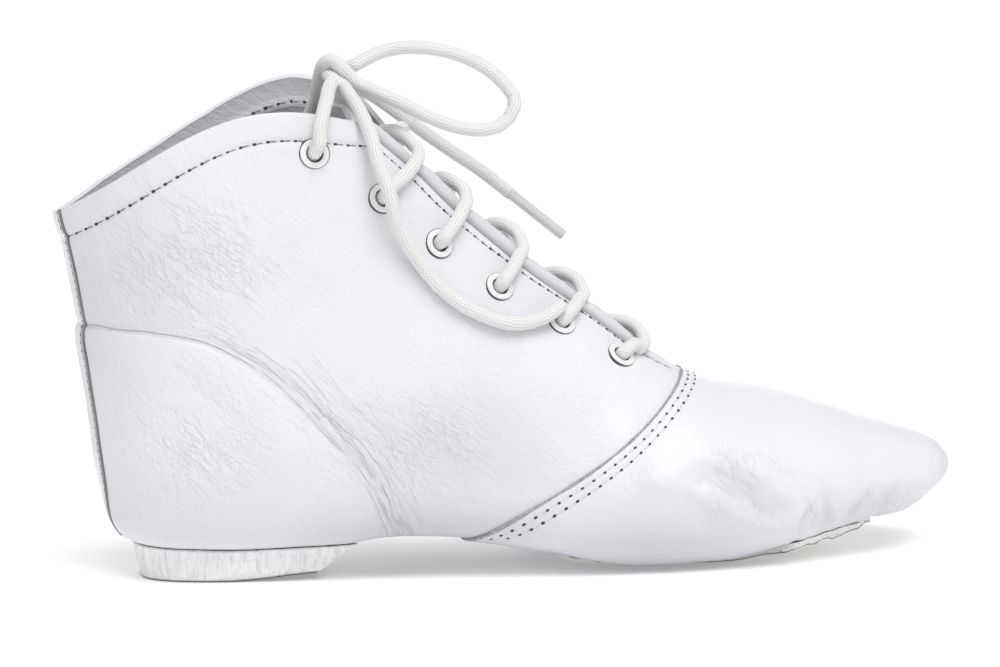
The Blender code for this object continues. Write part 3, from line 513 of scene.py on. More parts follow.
def noise(points, size, seed):
    """Smooth noise from -1 to 1 at points, with lumps of a size."""
    table = noise_lattice(seed)
    spot = np.asarray(points, dtype=float) / size
    cell = np.floor(spot).astype(int)
    part = spot - cell
    part = part * part * (3.0 - 2.0 * part)
    total = 0.0
    for corner in np.ndindex(2, 2, 2):
        weight = np.prod(np.where(corner, part, 1.0 - part), axis=-1)
        index = (cell + corner) % 32
        total = total + weight * table[index[..., 0], index[..., 1], index[..., 2]]
    return total


def bend(p0, p1, p2, p3, t):
    """Smooth curve from p1 to p2 that comes from p0 and goes on to p3."""
    return p1 + 0.5 * t * ((p2 - p0) + t * ((2 * p0 - 5 * p1 + 4 * p2 - p3) + t * (3 * (p1 - p2) + p3 - p0)))


def through(points, count):
    """Evenly spread points on a smooth curve through a route's own points."""
    route = np.array(points, dtype=float)
    ends = np.vstack((2 * route[0] - route[1], route, 2 * route[-1] - route[-2]))
    t = np.linspace(0.0, 1.0, 20, endpoint=False)[:, None]
    dense = [bend(*ends[k:k + 4], t) for k in range(len(route) - 1)]
    return spread(np.vstack(dense + [route[-1:]]), count)


def run_lengths(points):
    """Running length along points."""
    return np.concatenate(([0.0], np.cumsum(np.linalg.norm(np.diff(points, axis=0), axis=1))))


def spread(points, count):
    """Points along a line at even lengths."""
    run = run_lengths(points)
    spots = np.linspace(0.0, run[-1], count)
    return np.column_stack([np.interp(spots, run, points[:, k]) for k in range(points.shape[1])])


# Form of the last


@lru_cache(maxsize=None)
def section_at(row):
    """Section columns at any row, on a smooth curve through the table."""
    first = min(int(row), len(SECTIONS) - 2)
    picks = [SECTIONS[min(max(first + k, 0), len(SECTIONS) - 1)][1:] for k in (-1, 0, 1, 2)]
    return Section("", *bend(*(np.array(pick, dtype=float) for pick in picks), row - first))


@lru_cache(maxsize=None)
def side_curve(row, side):
    """Points of one side of a section from crown to base, with their running lengths."""
    sec = section_at(row)
    angle = np.linspace(0.0, math.pi, CURVE_STEPS + 1)
    up = np.clip(np.cos(angle), 0.0, 1.0)
    down = np.clip(-np.cos(angle), 0.0, 1.0)
    power = np.where(angle <= math.pi / 2, 2.0 / sec.crown_power, 2.0 / sec.base_power)
    width = np.clip(np.sin(angle), 0.0, 1.0) ** power
    height = np.where(angle <= math.pi / 2, sec.belly + (1.0 - sec.belly) * up ** power,
                      sec.belly * (1.0 - down ** power))
    base = np.array((sec.base_x, 0.0, sec.base_z))
    axis = np.array((sec.crown_x, 0.0, sec.crown_z)) - base
    lift_axis = np.array((-axis[2], 0.0, axis[0])) / np.linalg.norm(axis)
    lift = sec.rise * np.sin(math.pi * height ** RISE_SKEW)
    if side == INNER:
        lift = lift + sec.corner_in * (height ** 2 - 0.45 * height ** 8)
    points = base + np.outer(height, axis) + np.outer(lift, lift_axis)
    points[:, 1] = sec.mid_y + side * sec.half_width * width
    return points, run_lengths(points)


def throat_half(row):
    """Half gap of the throat at a row."""
    if row < SEAM_ROW:
        return THROAT_LOW * section_at(row).half_width / section_at(SEAM_ROW).half_width
    return THROAT_LOW + (THROAT_TOP - THROAT_LOW) * (row - SEAM_ROW) / (COLLAR_ROW - SEAM_ROW)


@lru_cache(maxsize=None)
def edge_length(row, side):
    """Length along a section from its crown to the flap edge."""
    points, lengths = side_curve(row, side)
    reach = np.abs(points[:, 1] - section_at(row).mid_y)
    last = int(np.argmax(reach >= throat_half(row)))
    share = (throat_half(row) - reach[last - 1]) / (reach[last] - reach[last - 1])
    return lengths[last - 1] + share * (lengths[last] - lengths[last - 1])


def on_section(row, side, lengths):
    """Points of the form at lengths from the crown."""
    points, run = side_curve(row, side)
    return np.column_stack([np.interp(lengths, run, points[:, k]) for k in range(3)])


def outward(points, centers, wrap=False):
    """Normals of a grid of points, away from the middle of each row."""
    if wrap:
        across = np.roll(points, -1, axis=1) - np.roll(points, 1, axis=1)
    else:
        across = np.gradient(points, axis=1)
    normals = unit(np.cross(across, np.gradient(points, axis=0)))
    away = points - centers[:, None, :]
    if np.sum(normals * away) < 0.0:
        normals = -normals
    return normals


def section_center(row):
    """Middle of a section."""
    sec = section_at(row)
    return np.array(((sec.crown_x + sec.base_x) / 2, sec.mid_y, (sec.crown_z + sec.base_z) / 2))


# Relief of the leather


def crease_relief(points, creases, shift):
    """Troughs of the creases with their raised banks, on points seen from the side."""
    warp = np.stack((noise(points, 7.0, 21), noise(points, 7.0, 22)), axis=-1) * 0.9
    warp += np.stack((noise(points, 2.6, 23), noise(points, 2.6, 24)), axis=-1) * 0.3
    flat = points[..., [0, 2]] + warp + np.array(shift)
    out = np.zeros(points.shape[:2])
    for crease in creases:
        route = through(crease.route, 4 * len(crease.route))
        reach = 4.0 * crease.width
        near = np.all((flat > route.min(axis=0) - reach) & (flat < route.max(axis=0) + reach), axis=-1)
        if not near.any():
            continue
        spots = flat[near]
        best = np.full(len(spots), 1e9)
        place = np.zeros(len(spots))
        for k in range(len(route) - 1):
            line = route[k + 1] - route[k]
            share = np.clip((spots - route[k]) @ line / (line @ line), 0.0, 1.0)
            away = np.linalg.norm(spots - route[k] - share[:, None] * line, axis=1)
            closer = away < best
            best[closer] = away[closer]
            place[closer] = (k + share[closer]) / (len(route) - 1)
        taper = np.sin(math.pi * np.clip(0.06 + 0.88 * place, 0.0, 1.0)) ** 0.6
        trough = -bell(best, crease.width) + 0.4 * bell(best - 2.0 * crease.width, 1.1 * crease.width)
        out[near] += crease.depth * taper * trough
    return out


def dent(away, mark):
    """Depth of a soft mark at lengths from its middle."""
    return mark.depth * bell(away, mark.width)


def place_share(points, places, least):
    """How much of a mark the points have, from a table of places seen from the side."""
    x, z = points[..., 0], points[..., 2]
    share = np.full(points.shape[:2], least)
    for place in places:
        away = ((x - place.x) / place.half_x) ** 2 + ((z - place.z) / place.half_z) ** 2
        share = np.maximum(share, place.strength * np.exp(-away))
    return np.clip(share, 0.0, 1.0)


def counter_place(points):
    """Length along the counter's upper edge and length inside it, seen from the side."""
    edge = through([(one.x, one.z) for one in COUNTER_EDGE], 120)
    run = run_lengths(edge)
    flat = points[..., [0, 2]] + 0.35 * np.stack((noise(points, 9.0, 5), noise(points, 6.0, 6)), axis=-1)
    gaps = flat[:, :, None, :] - edge[None, None, :, :]
    nearest = np.argmin(np.sum(gaps * gaps, axis=-1), axis=-1)
    ahead = unit(np.gradient(edge, axis=0))[nearest]
    away = flat - edge[nearest]
    inside = -(ahead[..., 0] * away[..., 1] - ahead[..., 1] * away[..., 0])
    return run[nearest] + np.sum(ahead * away, axis=-1), inside


def counter_relief(points, inside):
    """Round shoulder of the heel counter under the leather, with a fold along its edge."""
    x = points[..., 0]
    fade = np.interp(x, [one.x for one in COUNTER_EDGE], [one.fade for one in COUNTER_EDGE])
    crisp = 1.0 - smooth(-4.0, 34.0, x)
    share = np.clip((inside + 0.4) / (2.6 * fade), 0.0, 1.0)
    shoulder = crisp * np.sqrt(1.0 - (1.0 - share) ** 2)
    shoulder = shoulder + (1.0 - crisp) * smooth(-0.3, 1.0, inside / (1.6 * fade))
    step = settings().leather.counter_swell / MM * shoulder
    step -= 0.3 * crisp * bell(inside + 0.9, 0.8)
    return step * (1.0 - smooth(46.0, 62.0, x))


@lru_cache(maxsize=None)
def quarter(side):
    """One quarter as a grid, with its relief and the values that its finish reads."""
    leather = settings().leather
    cuff = leather.cuff_width / MM
    rows = np.linspace(SEAM_ROW - 0.45, COLLAR_ROW, QUARTER_ROWS)
    band = np.linspace(0.0, FLAP_BAND, FLAP_COLUMNS, endpoint=False)
    rest = np.linspace(0.0, 1.0, SIDE_COLUMNS)
    lengths = []
    for row in rows:
        edge, total = edge_length(row, side), side_curve(row, side)[1][-1]
        lengths.append(np.concatenate((edge + band, edge + FLAP_BAND + rest * (total - edge - FLAP_BAND))))
    form = np.array([on_section(row, side, line) for row, line in zip(rows, lengths)])
    lengths = np.array(lengths)
    centers = np.array([section_center(row) for row in rows])
    normals = outward(form, centers)
    x, z, level = form[..., 0], form[..., 2], rows[:, None]
    to_edge, to_back = lengths - lengths[:, :1], lengths[:, -1:] - lengths
    to_collar = np.full(x.shape, FAR)
    gaps = np.linalg.norm(form[-NEAR_COLLAR_ROWS:, :, None, :] - form[-1][None, None, :, :], axis=-1)
    to_collar[-NEAR_COLLAR_ROWS:] = gaps.min(axis=2)
    along, inside = counter_place(form)
    out = counter_relief(form, inside)
    folds = sum(one.strength * bell(inside + one.out, one.width) * smooth(one.start, one.full, x)
                * (1.0 - smooth(one.fade, one.end, x)) for one in FOLD_BANDS)
    # turned flap edge, the groove beside it, the puff up to its stitches and the line that they draw in
    roll = smooth(SEAM_ROW - 0.4, SEAM_ROW + 1.8, level)
    roll = roll * (1.0 - 0.6 * smooth(COLLAR_ROW - 0.4, COLLAR_ROW, level))
    inset = flap_inset(level)
    out += ROLL_OUT * roll * np.sqrt(np.clip(1.0 - (to_edge / ROLL_WIDTH) ** 2, 0.0, 1.0))
    out -= roll * dent(to_edge - ROLL_WIDTH - 0.2, ROLL_GROOVE)
    out += roll * dent(to_edge - (ROLL_WIDTH + inset) / 2 - 0.3, FLAP_PUFF)
    below_cuff = to_collar > cuff - 1.5
    out -= dent(to_edge - inset, FLAP_DRAW) * smooth(SEAM_ROW, SEAM_ROW + 0.6, level) * below_cuff
    # puffed cuff and the line where it is sewn down
    share = np.clip(to_collar / cuff, 0.0, 1.0)
    out += leather.cuff_puff / MM * np.sin(math.pi * share ** 0.8) ** 0.6 * smooth(0.0, 3.0, to_edge)
    out -= dent(to_collar - cuff, CUFF_DRAW) * smooth(inset - 1.0, inset + 1.0, to_edge)
    # the lace presses the turned edge in, the strip lies sunk over the back seam, and the eyelets pull hollows
    for low, high in zip(EYELETS[1:], EYELETS):
        i = int(np.argmin(np.abs(rows - (low.row + low.lean * (high.row - low.row)))))
        out -= dent(np.linalg.norm(form - form[i, 0], axis=-1), LACE_PRESS)
    out -= STRIP_SINK * (1.0 - smooth(STRIP_HALF - 0.2, STRIP_HALF + 1.0, to_back)) * smooth(10.8, 11.2, level)
    for eyelet in EYELETS:
        i = int(np.argmin(np.abs(rows - eyelet.row)))
        j = int(np.argmin(np.abs(to_edge[i] - eyelet.inset)))
        out -= dent(np.linalg.norm(form - form[i, j], axis=-1), EYELET_PULL)
    creases, shift, wear = QUARTER_CREASES, (0.0, 0.0), 1.0
    if side == INNER:
        # the inner flap lies flatter, and its creases differ
        midway = smooth(7.4, 9.0, level) * (1.0 - smooth(13.0, 15.2, level))
        out -= INNER_SINK * (1.0 - smooth(2.0, 16.0, to_edge)) * midway
        creases, shift, wear = QUARTER_CREASES[::-2] + QUARTER_CREASES[1:6:2], (-3.0, 2.0), 0.55
    out += leather.crease * crease_relief(form, creases, shift)
    worn = place_share(form, WORN_PLACES, 0.18) * wear
    soft = 1.0 - 0.7 * smooth(20.0, 60.0, x) * smooth(40.0, 70.0, z)
    calm = smooth(3.0, 9.0, to_edge)
    out += calm * (0.35 * noise(form, 26.0, 1) + 0.12 * soft * noise(form, 9.0, 2))
    out += calm * worn * 0.16 * noise(form @ slash_turn(*QUARTER_SLASH), 2.4, 3)
    points = form + normals * out[..., None]
    if side == INNER:
        points[..., 2] += np.interp(x, *zip(*INNER_COLLAR)) * smooth(12.5, COLLAR_ROW, level)
    # painted shade: darker in the shaded places and in the relief's troughs and hollows, and the outer part of
    # the turned edge made greyer
    soil = place_share(form, SHADED_PLACES, 0.0) + 0.3 * np.clip(-out, 0.0, 0.8)
    soil += 0.4 * roll * (1.0 - smooth(0.75 * ROLL_WIDTH, 1.15 * ROLL_WIDTH, to_edge))
    # painted dark line of shade in the groove beside the turned edge
    line = 0.85 * roll * bell(to_edge - ROLL_WIDTH - 0.15, 0.28)
    return Quarter(rows, lengths, points, outward(points, centers), to_edge, to_collar, worn,
                   np.clip(soil, 0.0, 1.0), line, folds,
                   np.stack((along, inside, 1.0 - smooth(0.0, 36.0, x)), axis=-1))


def slash_turn(angle, stretch):
    """Turns points so that noise on them draws long slashes at an angle, seen from the side."""
    cos, sin = math.cos(math.radians(angle)), math.sin(math.radians(angle))
    along, across = np.array((cos, 0.0, sin)) / stretch, np.array((-sin, 0.0, cos))
    return np.column_stack((along, np.array((0.0, 1.0, 0.0)), across))


def flap_inset(row):
    """Length from the flap edge to its stitches."""
    return ROLL_WIDTH + 0.9 + 3.2 * smooth(SEAM_ROW + 0.5, SEAM_ROW + 6.0, row)


def grid_at(grid, i, j):
    """Value of a grid between its rows and columns."""
    i, j = min(max(i, 0.0), len(grid) - 1.001), min(max(j, 0.0), len(grid[0]) - 1.001)
    a, b = int(i), int(j)
    u, v = i - a, j - b
    return ((1 - u) * (1 - v) * grid[a, b] + (1 - u) * v * grid[a, b + 1]
            + u * (1 - v) * grid[a + 1, b] + u * v * grid[a + 1, b + 1])


def on_leather(side, row, inset):
    """Point and normal of a quarter's outer face at a length from its flap edge."""
    flap = quarter(side)
    i = float(np.interp(row, flap.rows, np.arange(len(flap.rows))))
    j = float(np.interp(inset, flap.to_edge[int(round(i))], np.arange(flap.to_edge.shape[1])))
    point, normal = grid_at(flap.points, i, j), unit(grid_at(flap.normals, i, j))
    return point, normal


@lru_cache(maxsize=None)
def vamp():
    """The vamp as a closed grid from the toe's pole to its cut edge, with the values that its finish reads."""
    leather = settings().leather
    rows = np.concatenate((np.zeros(TIP_ROWS), np.linspace(0.0, SEAM_ROW, VAMP_ROWS)))
    share = np.linspace(0.0, 1.0, VAMP_SIDE_COLUMNS + 1)
    form = []
    for k, row in enumerate(rows):
        outer, inner = (on_section(row, side, share * side_curve(row, side)[1][-1]) for side in (OUTER, INNER))
        line = np.vstack((outer[::-1], inner[1:-1]))
        if k < TIP_ROWS:
            reach = k / TIP_ROWS
            middle = line.mean(axis=0)
            line = middle + (line - middle) * reach + np.array((TOE_CAP * (1.0 - reach ** 2), 0.0, 0.0))
        form.append(line)
    form = np.array(form)
    centers = np.array([section_center(row) for row in rows]) - VAMP_CENTER_BACK
    normals = outward(form, centers, wrap=True)
    normals[0] = (1.0, 0.0, 0.0)
    x, y, z = form[..., 0], form[..., 1], form[..., 2]
    level = rows[:, None] + np.zeros(x.shape)
    # length to the cut edge, square to it
    steps = np.linalg.norm(np.diff(form, axis=0), axis=-1)
    to_seam = np.concatenate((np.cumsum(steps[::-1], axis=0)[::-1], np.zeros((1, form.shape[1]))))
    across = np.roll(form, -1, axis=1) - np.roll(form, 1, axis=1)
    along = unit(np.gradient(form, axis=0))
    lean = np.sqrt(np.clip(1.0 - np.sum(unit(across) * along, axis=-1) ** 2, 0.05, 1.0))
    to_seam = to_seam * lean[-1][None, :]
    # lap over the quarters, drawn in by its two rows of stitches
    out = leather.vamp_step / MM * smooth(SEAM_ROW - 2.2, SEAM_ROW - 0.3, level)
    for inset in SEAM_STITCHES:
        out -= dent(to_seam - inset, SEAM_DRAW)
    out += dent(to_seam - sum(SEAM_STITCHES) / 2, SEAM_PUFF)
    out -= dent(to_seam, SEAM_EDGE)
    outer_side = y < 5.0
    pleats = crease_relief(form, VAMP_CREASES, (0.0, 0.0)) * outer_side
    pleats += crease_relief(form, VAMP_CREASES[2:], (4.0, -1.0)) * ~outer_side
    out += leather.crease * pleats * (1.0 - smooth(36.0, 46.0, z))
    calm = smooth(2.0, 12.0, to_seam)
    worn = place_share(form, WORN_PLACES, 0.10)
    low = 1.0 - smooth(12.0, 30.0, z)
    out += calm * (0.3 * noise(form, 24.0, 11) + (0.08 + 0.2 * low) * noise(form, 8.0, 12))
    out += calm * worn * 0.24 * noise(form @ slash_turn(*VAMP_SLASH), 1.9, 13)
    # full toe, high crown, and the crown drawn down to the seam
    for swell in TOE_SWELLS:
        out += swell.amount * bell(z - swell.z, swell.width) * smooth(swell.start, swell.full, x)
    out += CROWN_LIFT * bell(y, 18.0) * bell(x - 156.0, 17.0) * smooth(28.0, 38.0, z)
    out -= CROWN_DROP * bell(y + 3.0, 14.0) * smooth(5.4, 6.4, level) * (z > 35.0)
    # soft lower rim, squashed over the edge of the sole
    middle, half = np.array([(one.mid_y, one.half_width) for one in map(section_at, rows)]).T[..., None]
    low_rim = bell(np.abs(y - middle) / half - 0.76, 0.16) * (1.0 - smooth(9.0, 17.0, z))
    out += LOW_RIM * low_rim * smooth(84.0, 108.0, x) * (1.0 - 0.75 * smooth(138.0, 158.0, x))
    points = form + normals * out[..., None]
    points[..., 2] = np.maximum(points[..., 2], FLOOR_CLEAR)
    # painted shade: darker in the shaded places and in the relief's troughs and hollows
    soil = np.clip(place_share(form, SHADED_PLACES, 0.0) + 0.4 * np.clip(-out, 0.0, 0.8), 0.0, 1.0)
    return Vamp(rows, points, outward(points, centers, wrap=True), to_seam, worn, soil)


# Meshes and objects


def grid_shape(points, layers=None, wrap=False):
    """Bmesh grid laid on rows of points in millimetres, with values on its vertices."""
    count, across = points.shape[:2]
    if wrap:
        points = np.concatenate((points, points[:, :1]), axis=1)
        layers = {name: np.concatenate((value, value[:, :1]), axis=1) for name, value in (layers or {}).items()}
        across += 1
    shape = bmesh.new()
    bmesh.ops.create_grid(shape, x_segments=across - 1, y_segments=count - 1, size=1.0)
    stores = {}
    for name, value in (layers or {}).items():
        kinds = shape.verts.layers
        stores[name] = (kinds.float_vector if value.ndim == 3 else kinds.float).new(name)
    for vert in shape.verts:
        j = round((vert.co.x + 1.0) / 2.0 * (across - 1))
        i = round((vert.co.y + 1.0) / 2.0 * (count - 1))
        for name, store in stores.items():
            vert[store] = layers[name][i, j]
        vert.co = points[i, j] * MM
    if wrap:
        bmesh.ops.remove_doubles(shape, verts=shape.verts, dist=SAME_SPOT)
    return shape


def closed_shape(points, layers=None):
    """Bmesh from rings of points that close at both ends."""
    shape = grid_shape(points, layers, wrap=True)
    bmesh.ops.remove_doubles(shape, verts=shape.verts, dist=2 * SAME_SPOT)
    bmesh.ops.recalc_face_normals(shape, faces=shape.faces)
    return shape


def turned_shape(profile, steps):
    """Bmesh turned round the Z axis from a profile of radii and heights in millimetres."""
    shape = bmesh.new()
    verts = [shape.verts.new((r * MM, 0.0, z * MM)) for r, z in profile]
    edges = [shape.edges.new(pair) for pair in zip(verts, verts[1:])]
    bmesh.ops.spin(shape, geom=verts + edges, cent=(0.0, 0.0, 0.0), axis=(0.0, 0.0, 1.0),
                   dvec=(0.0, 0.0, 0.0), angle=2 * math.pi, steps=steps, use_merge=True, use_duplicate=False)
    bmesh.ops.remove_doubles(shape, verts=shape.verts, dist=SAME_SPOT)
    bmesh.ops.recalc_face_normals(shape, faces=shape.faces)
    return shape


def stand(shape, point, direction):
    """Turn a shape's Z axis to a direction and move it to a point in millimetres."""
    turn = Vector(direction).to_track_quat("Z", "Y").to_matrix().to_4x4()
    shape.transform(Matrix.Translation(Vector(point * MM)) @ turn)


def face_like(shape, normals, points):
    """Turn a grid's faces the way that its normals point."""
    shape.normal_update()
    widest = max(shape.faces, key=lambda face: face.calc_area())
    middle = np.array(widest.calc_center_median()) / MM
    nearest = int(np.argmin(np.linalg.norm(points.reshape(-1, 3) - middle, axis=1)))
    if Vector(normals.reshape(-1, 3)[nearest]).dot(widest.normal) < 0.0:
        bmesh.ops.reverse_faces(shape, faces=shape.faces)


def add_piece(name, shape, finishes, stands_for=()):
    """Object from a bmesh, riding on the boot and standing for its solids."""
    for face in shape.faces:
        face.smooth = True
    mesh = bpy.data.meshes.new(name)
    shape.normal_update()
    shape.to_mesh(mesh)
    shape.free()
    for finish in finishes:
        mesh.materials.append(finish)
    piece = bpy.data.objects.new(name, mesh)
    bpy.context.scene.collection.objects.link(piece)
    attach(piece, BODY)
    if stands_for:
        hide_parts(*stands_for)
    return piece


def add_wall(piece, thickness, rounding, inner_slot=0):
    """Wall under an outer face, with rounded rims."""
    wall = piece.modifiers.new("wall", "SOLIDIFY")
    wall.thickness = thickness
    wall.offset = -1.0
    wall.material_offset = inner_slot
    rim = piece.modifiers.new("rim", "BEVEL")
    rim.affect = "EDGES"
    rim.limit_method = "ANGLE"
    rim.angle_limit = math.radians(50.0)
    rim.width = rounding
    rim.segments = 3
    rim.profile = 0.5
    rim.material = -1


def tube_points(route, reach, around):
    """Rings of points round a route, on axes that turn as little as they can."""
    along = unit(np.gradient(route, axis=0))
    side = np.cross(along[0], (0.0, 0.0, 1.0))
    if np.linalg.norm(side) < 0.1:
        side = np.cross(along[0], (0.0, 1.0, 0.0))
    sides = []
    for direction in along:
        side = side - direction * (side @ direction)
        side = side / np.linalg.norm(side)
        sides.append(side)
    sides = np.array(sides)
    ups = np.cross(along, sides)
    rings = np.cos(around)[None, :, None] * sides[:, None, :] + np.sin(around)[None, :, None] * ups[:, None, :]
    return route[:, None, :] + reach[..., None] * rings


def braid_shape(route):
    """Lace along a route, with round ends: over and under yarns stand out of the cord."""
    lace = settings().lace
    radius = lace_radius()
    length = run_lengths(route)[-1]
    route = spread(route, max(8, int(length / BRAID_STEP)))
    run = run_lengths(route)
    around = np.linspace(0.0, 2 * math.pi, BRAID_COLUMNS, endpoint=False)
    turn = lace.carriers * around[None, :] / (2 * math.pi)
    climb = run[:, None] / (lace.rise / MM)
    one, two = turn + climb, turn - climb
    over = (np.floor(one) + np.floor(two)) % 2 == 0
    ridge = np.where(over, np.sin(math.pi * one) ** 2, np.sin(math.pi * two) ** 2)
    ends = np.minimum(run, length - run)
    round_off = np.sqrt(np.clip(1.0 - (1.0 - np.clip(ends / (0.6 * radius), 0.0, 1.0)) ** 2, 0.0, 1.0))
    reach = (radius - 0.2 + 0.26 * ridge) * round_off[:, None]
    return closed_shape(tube_points(route, reach, around), {"yarn": ridge})


def tube_shape(route, radius):
    """Plain cord along a route, uneven as a cut edge is."""
    around = np.linspace(0.0, 2 * math.pi, EDGE_COLUMNS, endpoint=False)
    reach = radius * (1.0 + 0.16 * noise(route, 1.4, 81) + 0.1 * noise(route, 5.0, 82))
    reach[[0, -1]] = 0.02
    return closed_shape(tube_points(route, reach[:, None], around))


def joined(shapes):
    """One bmesh from several, each freed."""
    whole = bmesh.new()
    mesh = bpy.data.meshes.new("part")
    for shape in shapes:
        shape.to_mesh(mesh)
        whole.from_mesh(mesh)
        shape.free()
    bpy.data.meshes.remove(mesh)
    return whole


# Finishes


def feed(tree, node, **inputs):
    """Set a node's inputs, each to a number, a colour or a socket. Names of inputs use _ for a space."""
    for name, value in inputs.items():
        if isinstance(value, bpy.types.NodeSocket):
            tree.links.new(value, node.inputs[name.replace("_", " ")])
        else:
            node.inputs[name.replace("_", " ")].default_value = value


def add_node(tree, kind, **values):
    """Shader node with its settings and inputs."""
    node = tree.nodes.new(kind)
    for name, value in values.items():
        if hasattr(node, name):
            setattr(node, name, value)
        else:
            feed(tree, node, **{name: value})
    return node


def shade(color, share):
    """A colour made darker, by one share or by one for each channel."""
    return tuple(float(value) for value in np.multiply(color, share))


def new_finish(name, color, roughness):
    """Material with its Principled node."""
    finish = bpy.data.materials.new(name)
    finish.use_nodes = True
    shader = finish.node_tree.nodes["Principled BSDF"]
    feed(finish.node_tree, shader, Base_Color=(*color, 1.0), Roughness=roughness)
    return finish, finish.node_tree, shader


def turned_place(tree, angle, scale):
    """Object coordinates turned in the side view and scaled along three axes."""
    place = add_node(tree, "ShaderNodeTexCoord").outputs["Object"]
    turn = add_node(tree, "ShaderNodeMapping", vector_type="TEXTURE", Vector=place,
                    Rotation=(0.0, math.radians(angle), 0.0), Scale=[1.0 / value for value in scale])
    return turn.outputs["Vector"]


def texture(tree, angle, scale, detail, **values):
    """Noise on turned Object coordinates, with so many lumps to the metre on each axis."""
    place = turned_place(tree, angle, scale)
    return add_node(tree, "ShaderNodeTexNoise", Vector=place, Scale=1.0, Detail=detail, **values).outputs["Fac"]


def math_node(tree, operation, *values):
    """Math node from sockets or numbers."""
    node = tree.nodes.new("ShaderNodeMath")
    node.operation = operation
    for index, value in enumerate(values):
        if isinstance(value, (int, float)):
            node.inputs[index].default_value = value
        else:
            tree.links.new(value, node.inputs[index])
    return node.outputs["Value"]


def ramp(tree, value, low, high, low_out=0.0, high_out=1.0):
    """Smooth change of a value between two limits."""
    return add_node(tree, "ShaderNodeMapRange", interpolation_type="SMOOTHSTEP", Value=value, From_Min=low,
                    From_Max=high, To_Min=low_out, To_Max=high_out).outputs["Result"]


def mix_color(tree, share, one, two):
    """Colour between two, each a colour or a socket."""
    node = tree.nodes.new("ShaderNodeMix")
    node.data_type = "RGBA"
    tree.links.new(share, node.inputs["Factor"])
    for index, value in ((6, one), (7, two)):
        if isinstance(value, bpy.types.NodeSocket):
            tree.links.new(value, node.inputs[index])
        else:
            node.inputs[index].default_value = (*value, 1.0)
    return node.outputs[2]


def bump(tree, height, distance, strength=1.0, under=None):
    """Bump from a height, over another bump."""
    node = add_node(tree, "ShaderNodeBump", Height=height, Strength=strength, Distance=distance)
    if under:
        feed(tree, node, Normal=under)
    return node.outputs["Normal"]


def attribute(tree, name, output="Fac"):
    """Value that the piece carries on its vertices."""
    return add_node(tree, "ShaderNodeAttribute", attribute_name=name).outputs[output]


def groove_lines(tree, vector, width):
    """Thin lines cut along the middle level of stretched noise, from 0 down to -1."""
    wave = add_node(tree, "ShaderNodeTexNoise", Vector=vector, Scale=1.0, Detail=3.0, Roughness=0.5,
                    Distortion=0.4).outputs["Fac"]
    away = math_node(tree, "ABSOLUTE", math_node(tree, "SUBTRACT", wave, 0.5))
    return ramp(tree, away, 0.0, width, -1.0, 0.0)


def leather_finish(name, angle, depth=0.00042):
    """Satin white leather: slash creases crowd the worn places, over pores and soft unevenness."""
    color = tuple(settings().leather.color)
    finish, tree, shader = new_finish(name, color, 0.42)
    patch = texture(tree, angle, (60.0, 60.0, 80.0), 2.0)
    crowd = math_node(tree, "MULTIPLY", attribute(tree, "worn"), ramp(tree, patch, 0.22, 0.55))
    slash = groove_lines(tree, turned_place(tree, angle, (120.0, 330.0, 480.0)), 0.12)
    cross = groove_lines(tree, turned_place(tree, angle + 42.0, (170.0, 400.0, 560.0)), 0.09)
    carved = math_node(tree, "MULTIPLY", math_node(tree, "MULTIPLY_ADD", cross, 0.55, slash), crowd)
    # folds that run along the counter's edge, and the line at the edge itself
    place = attribute(tree, "fold_place", "Vector")
    along = add_node(tree, "ShaderNodeMapping", Vector=place, Scale=(0.052, 0.5, 0.0)).outputs["Vector"]
    parts = add_node(tree, "ShaderNodeSeparateXYZ", Vector=place).outputs
    from_edge = math_node(tree, "ABSOLUTE", math_node(tree, "ADD", parts["Y"], 0.5))
    edge_line = math_node(tree, "MULTIPLY", ramp(tree, from_edge, 0.0, 0.6, -1.5, 0.0), parts["Z"])
    folded = math_node(tree, "MULTIPLY", groove_lines(tree, along, 0.14), attribute(tree, "folds"))
    carved = math_node(tree, "ADD", carved, math_node(tree, "MULTIPLY_ADD", folded, 1.3, edge_line))
    pores = add_node(tree, "ShaderNodeTexVoronoi", feature="SMOOTH_F1", Scale=1.0, Smoothness=0.6,
                     Vector=turned_place(tree, angle, (900.0, 1100.0, 1100.0))).outputs["Distance"]
    uneven = ramp(tree, texture(tree, 0.0, (24.0, 24.0, 24.0), 3.0), 0.35, 0.7, 0.0, 0.6)
    base = mix_color(tree, uneven, color, shade(color, 0.93))
    # painted shade: darker low down, at the toe and the back, and in the creases' troughs and other hollows
    base = mix_color(tree, attribute(tree, "soil"), base, shade(color, 0.66))
    # painted dark line of shade beside the turned flap edge and along the back strip's edges
    base = mix_color(tree, attribute(tree, "line"), base, shade(color, 0.2))
    feed(tree, shader, Base_Color=base, Roughness=ramp(tree, patch, 0.3, 0.7, 0.36, 0.5),
         Normal=bump(tree, carved, depth, 0.85, bump(tree, pores, 0.00006, 0.5)), Specular_IOR_Level=0.45)
    return finish


def lining_finish():
    """Grey lining with the leather turned over it at the collar, painted darker as shade inside the boot."""
    leather = settings().leather
    color = tuple(leather.lining_color)
    finish, tree, shader = new_finish("boot_lining", color, 0.85)
    hem = ramp(tree, attribute(tree, "to_collar"), 8.6, 9.0)
    weave = texture(tree, 0.0, (1500.0, 1500.0, 700.0), 2.0)
    wrinkle = texture(tree, 8.0, (420.0, 300.0, 60.0), 2.0)
    grain = groove_lines(tree, turned_place(tree, 20.0, (150.0, 300.0, 420.0)), 0.1)
    soft = mix_color(tree, ramp(tree, weave, 0.3, 0.7), color, shade(color, 0.86))
    folds = math_node(tree, "MULTIPLY", ramp(tree, wrinkle, 0.35, 0.6), hem)
    normal = bump(tree, grain, 0.00012, 0.6, bump(tree, weave, 0.00008, 0.6))
    # the turned leather is the outer leather's colour painted darker, as shade inside the boot
    feed(tree, shader, Base_Color=mix_color(tree, hem, shade(leather.color, 0.82), soft),
         Normal=bump(tree, folds, 0.0003, 0.8, normal))
    return finish


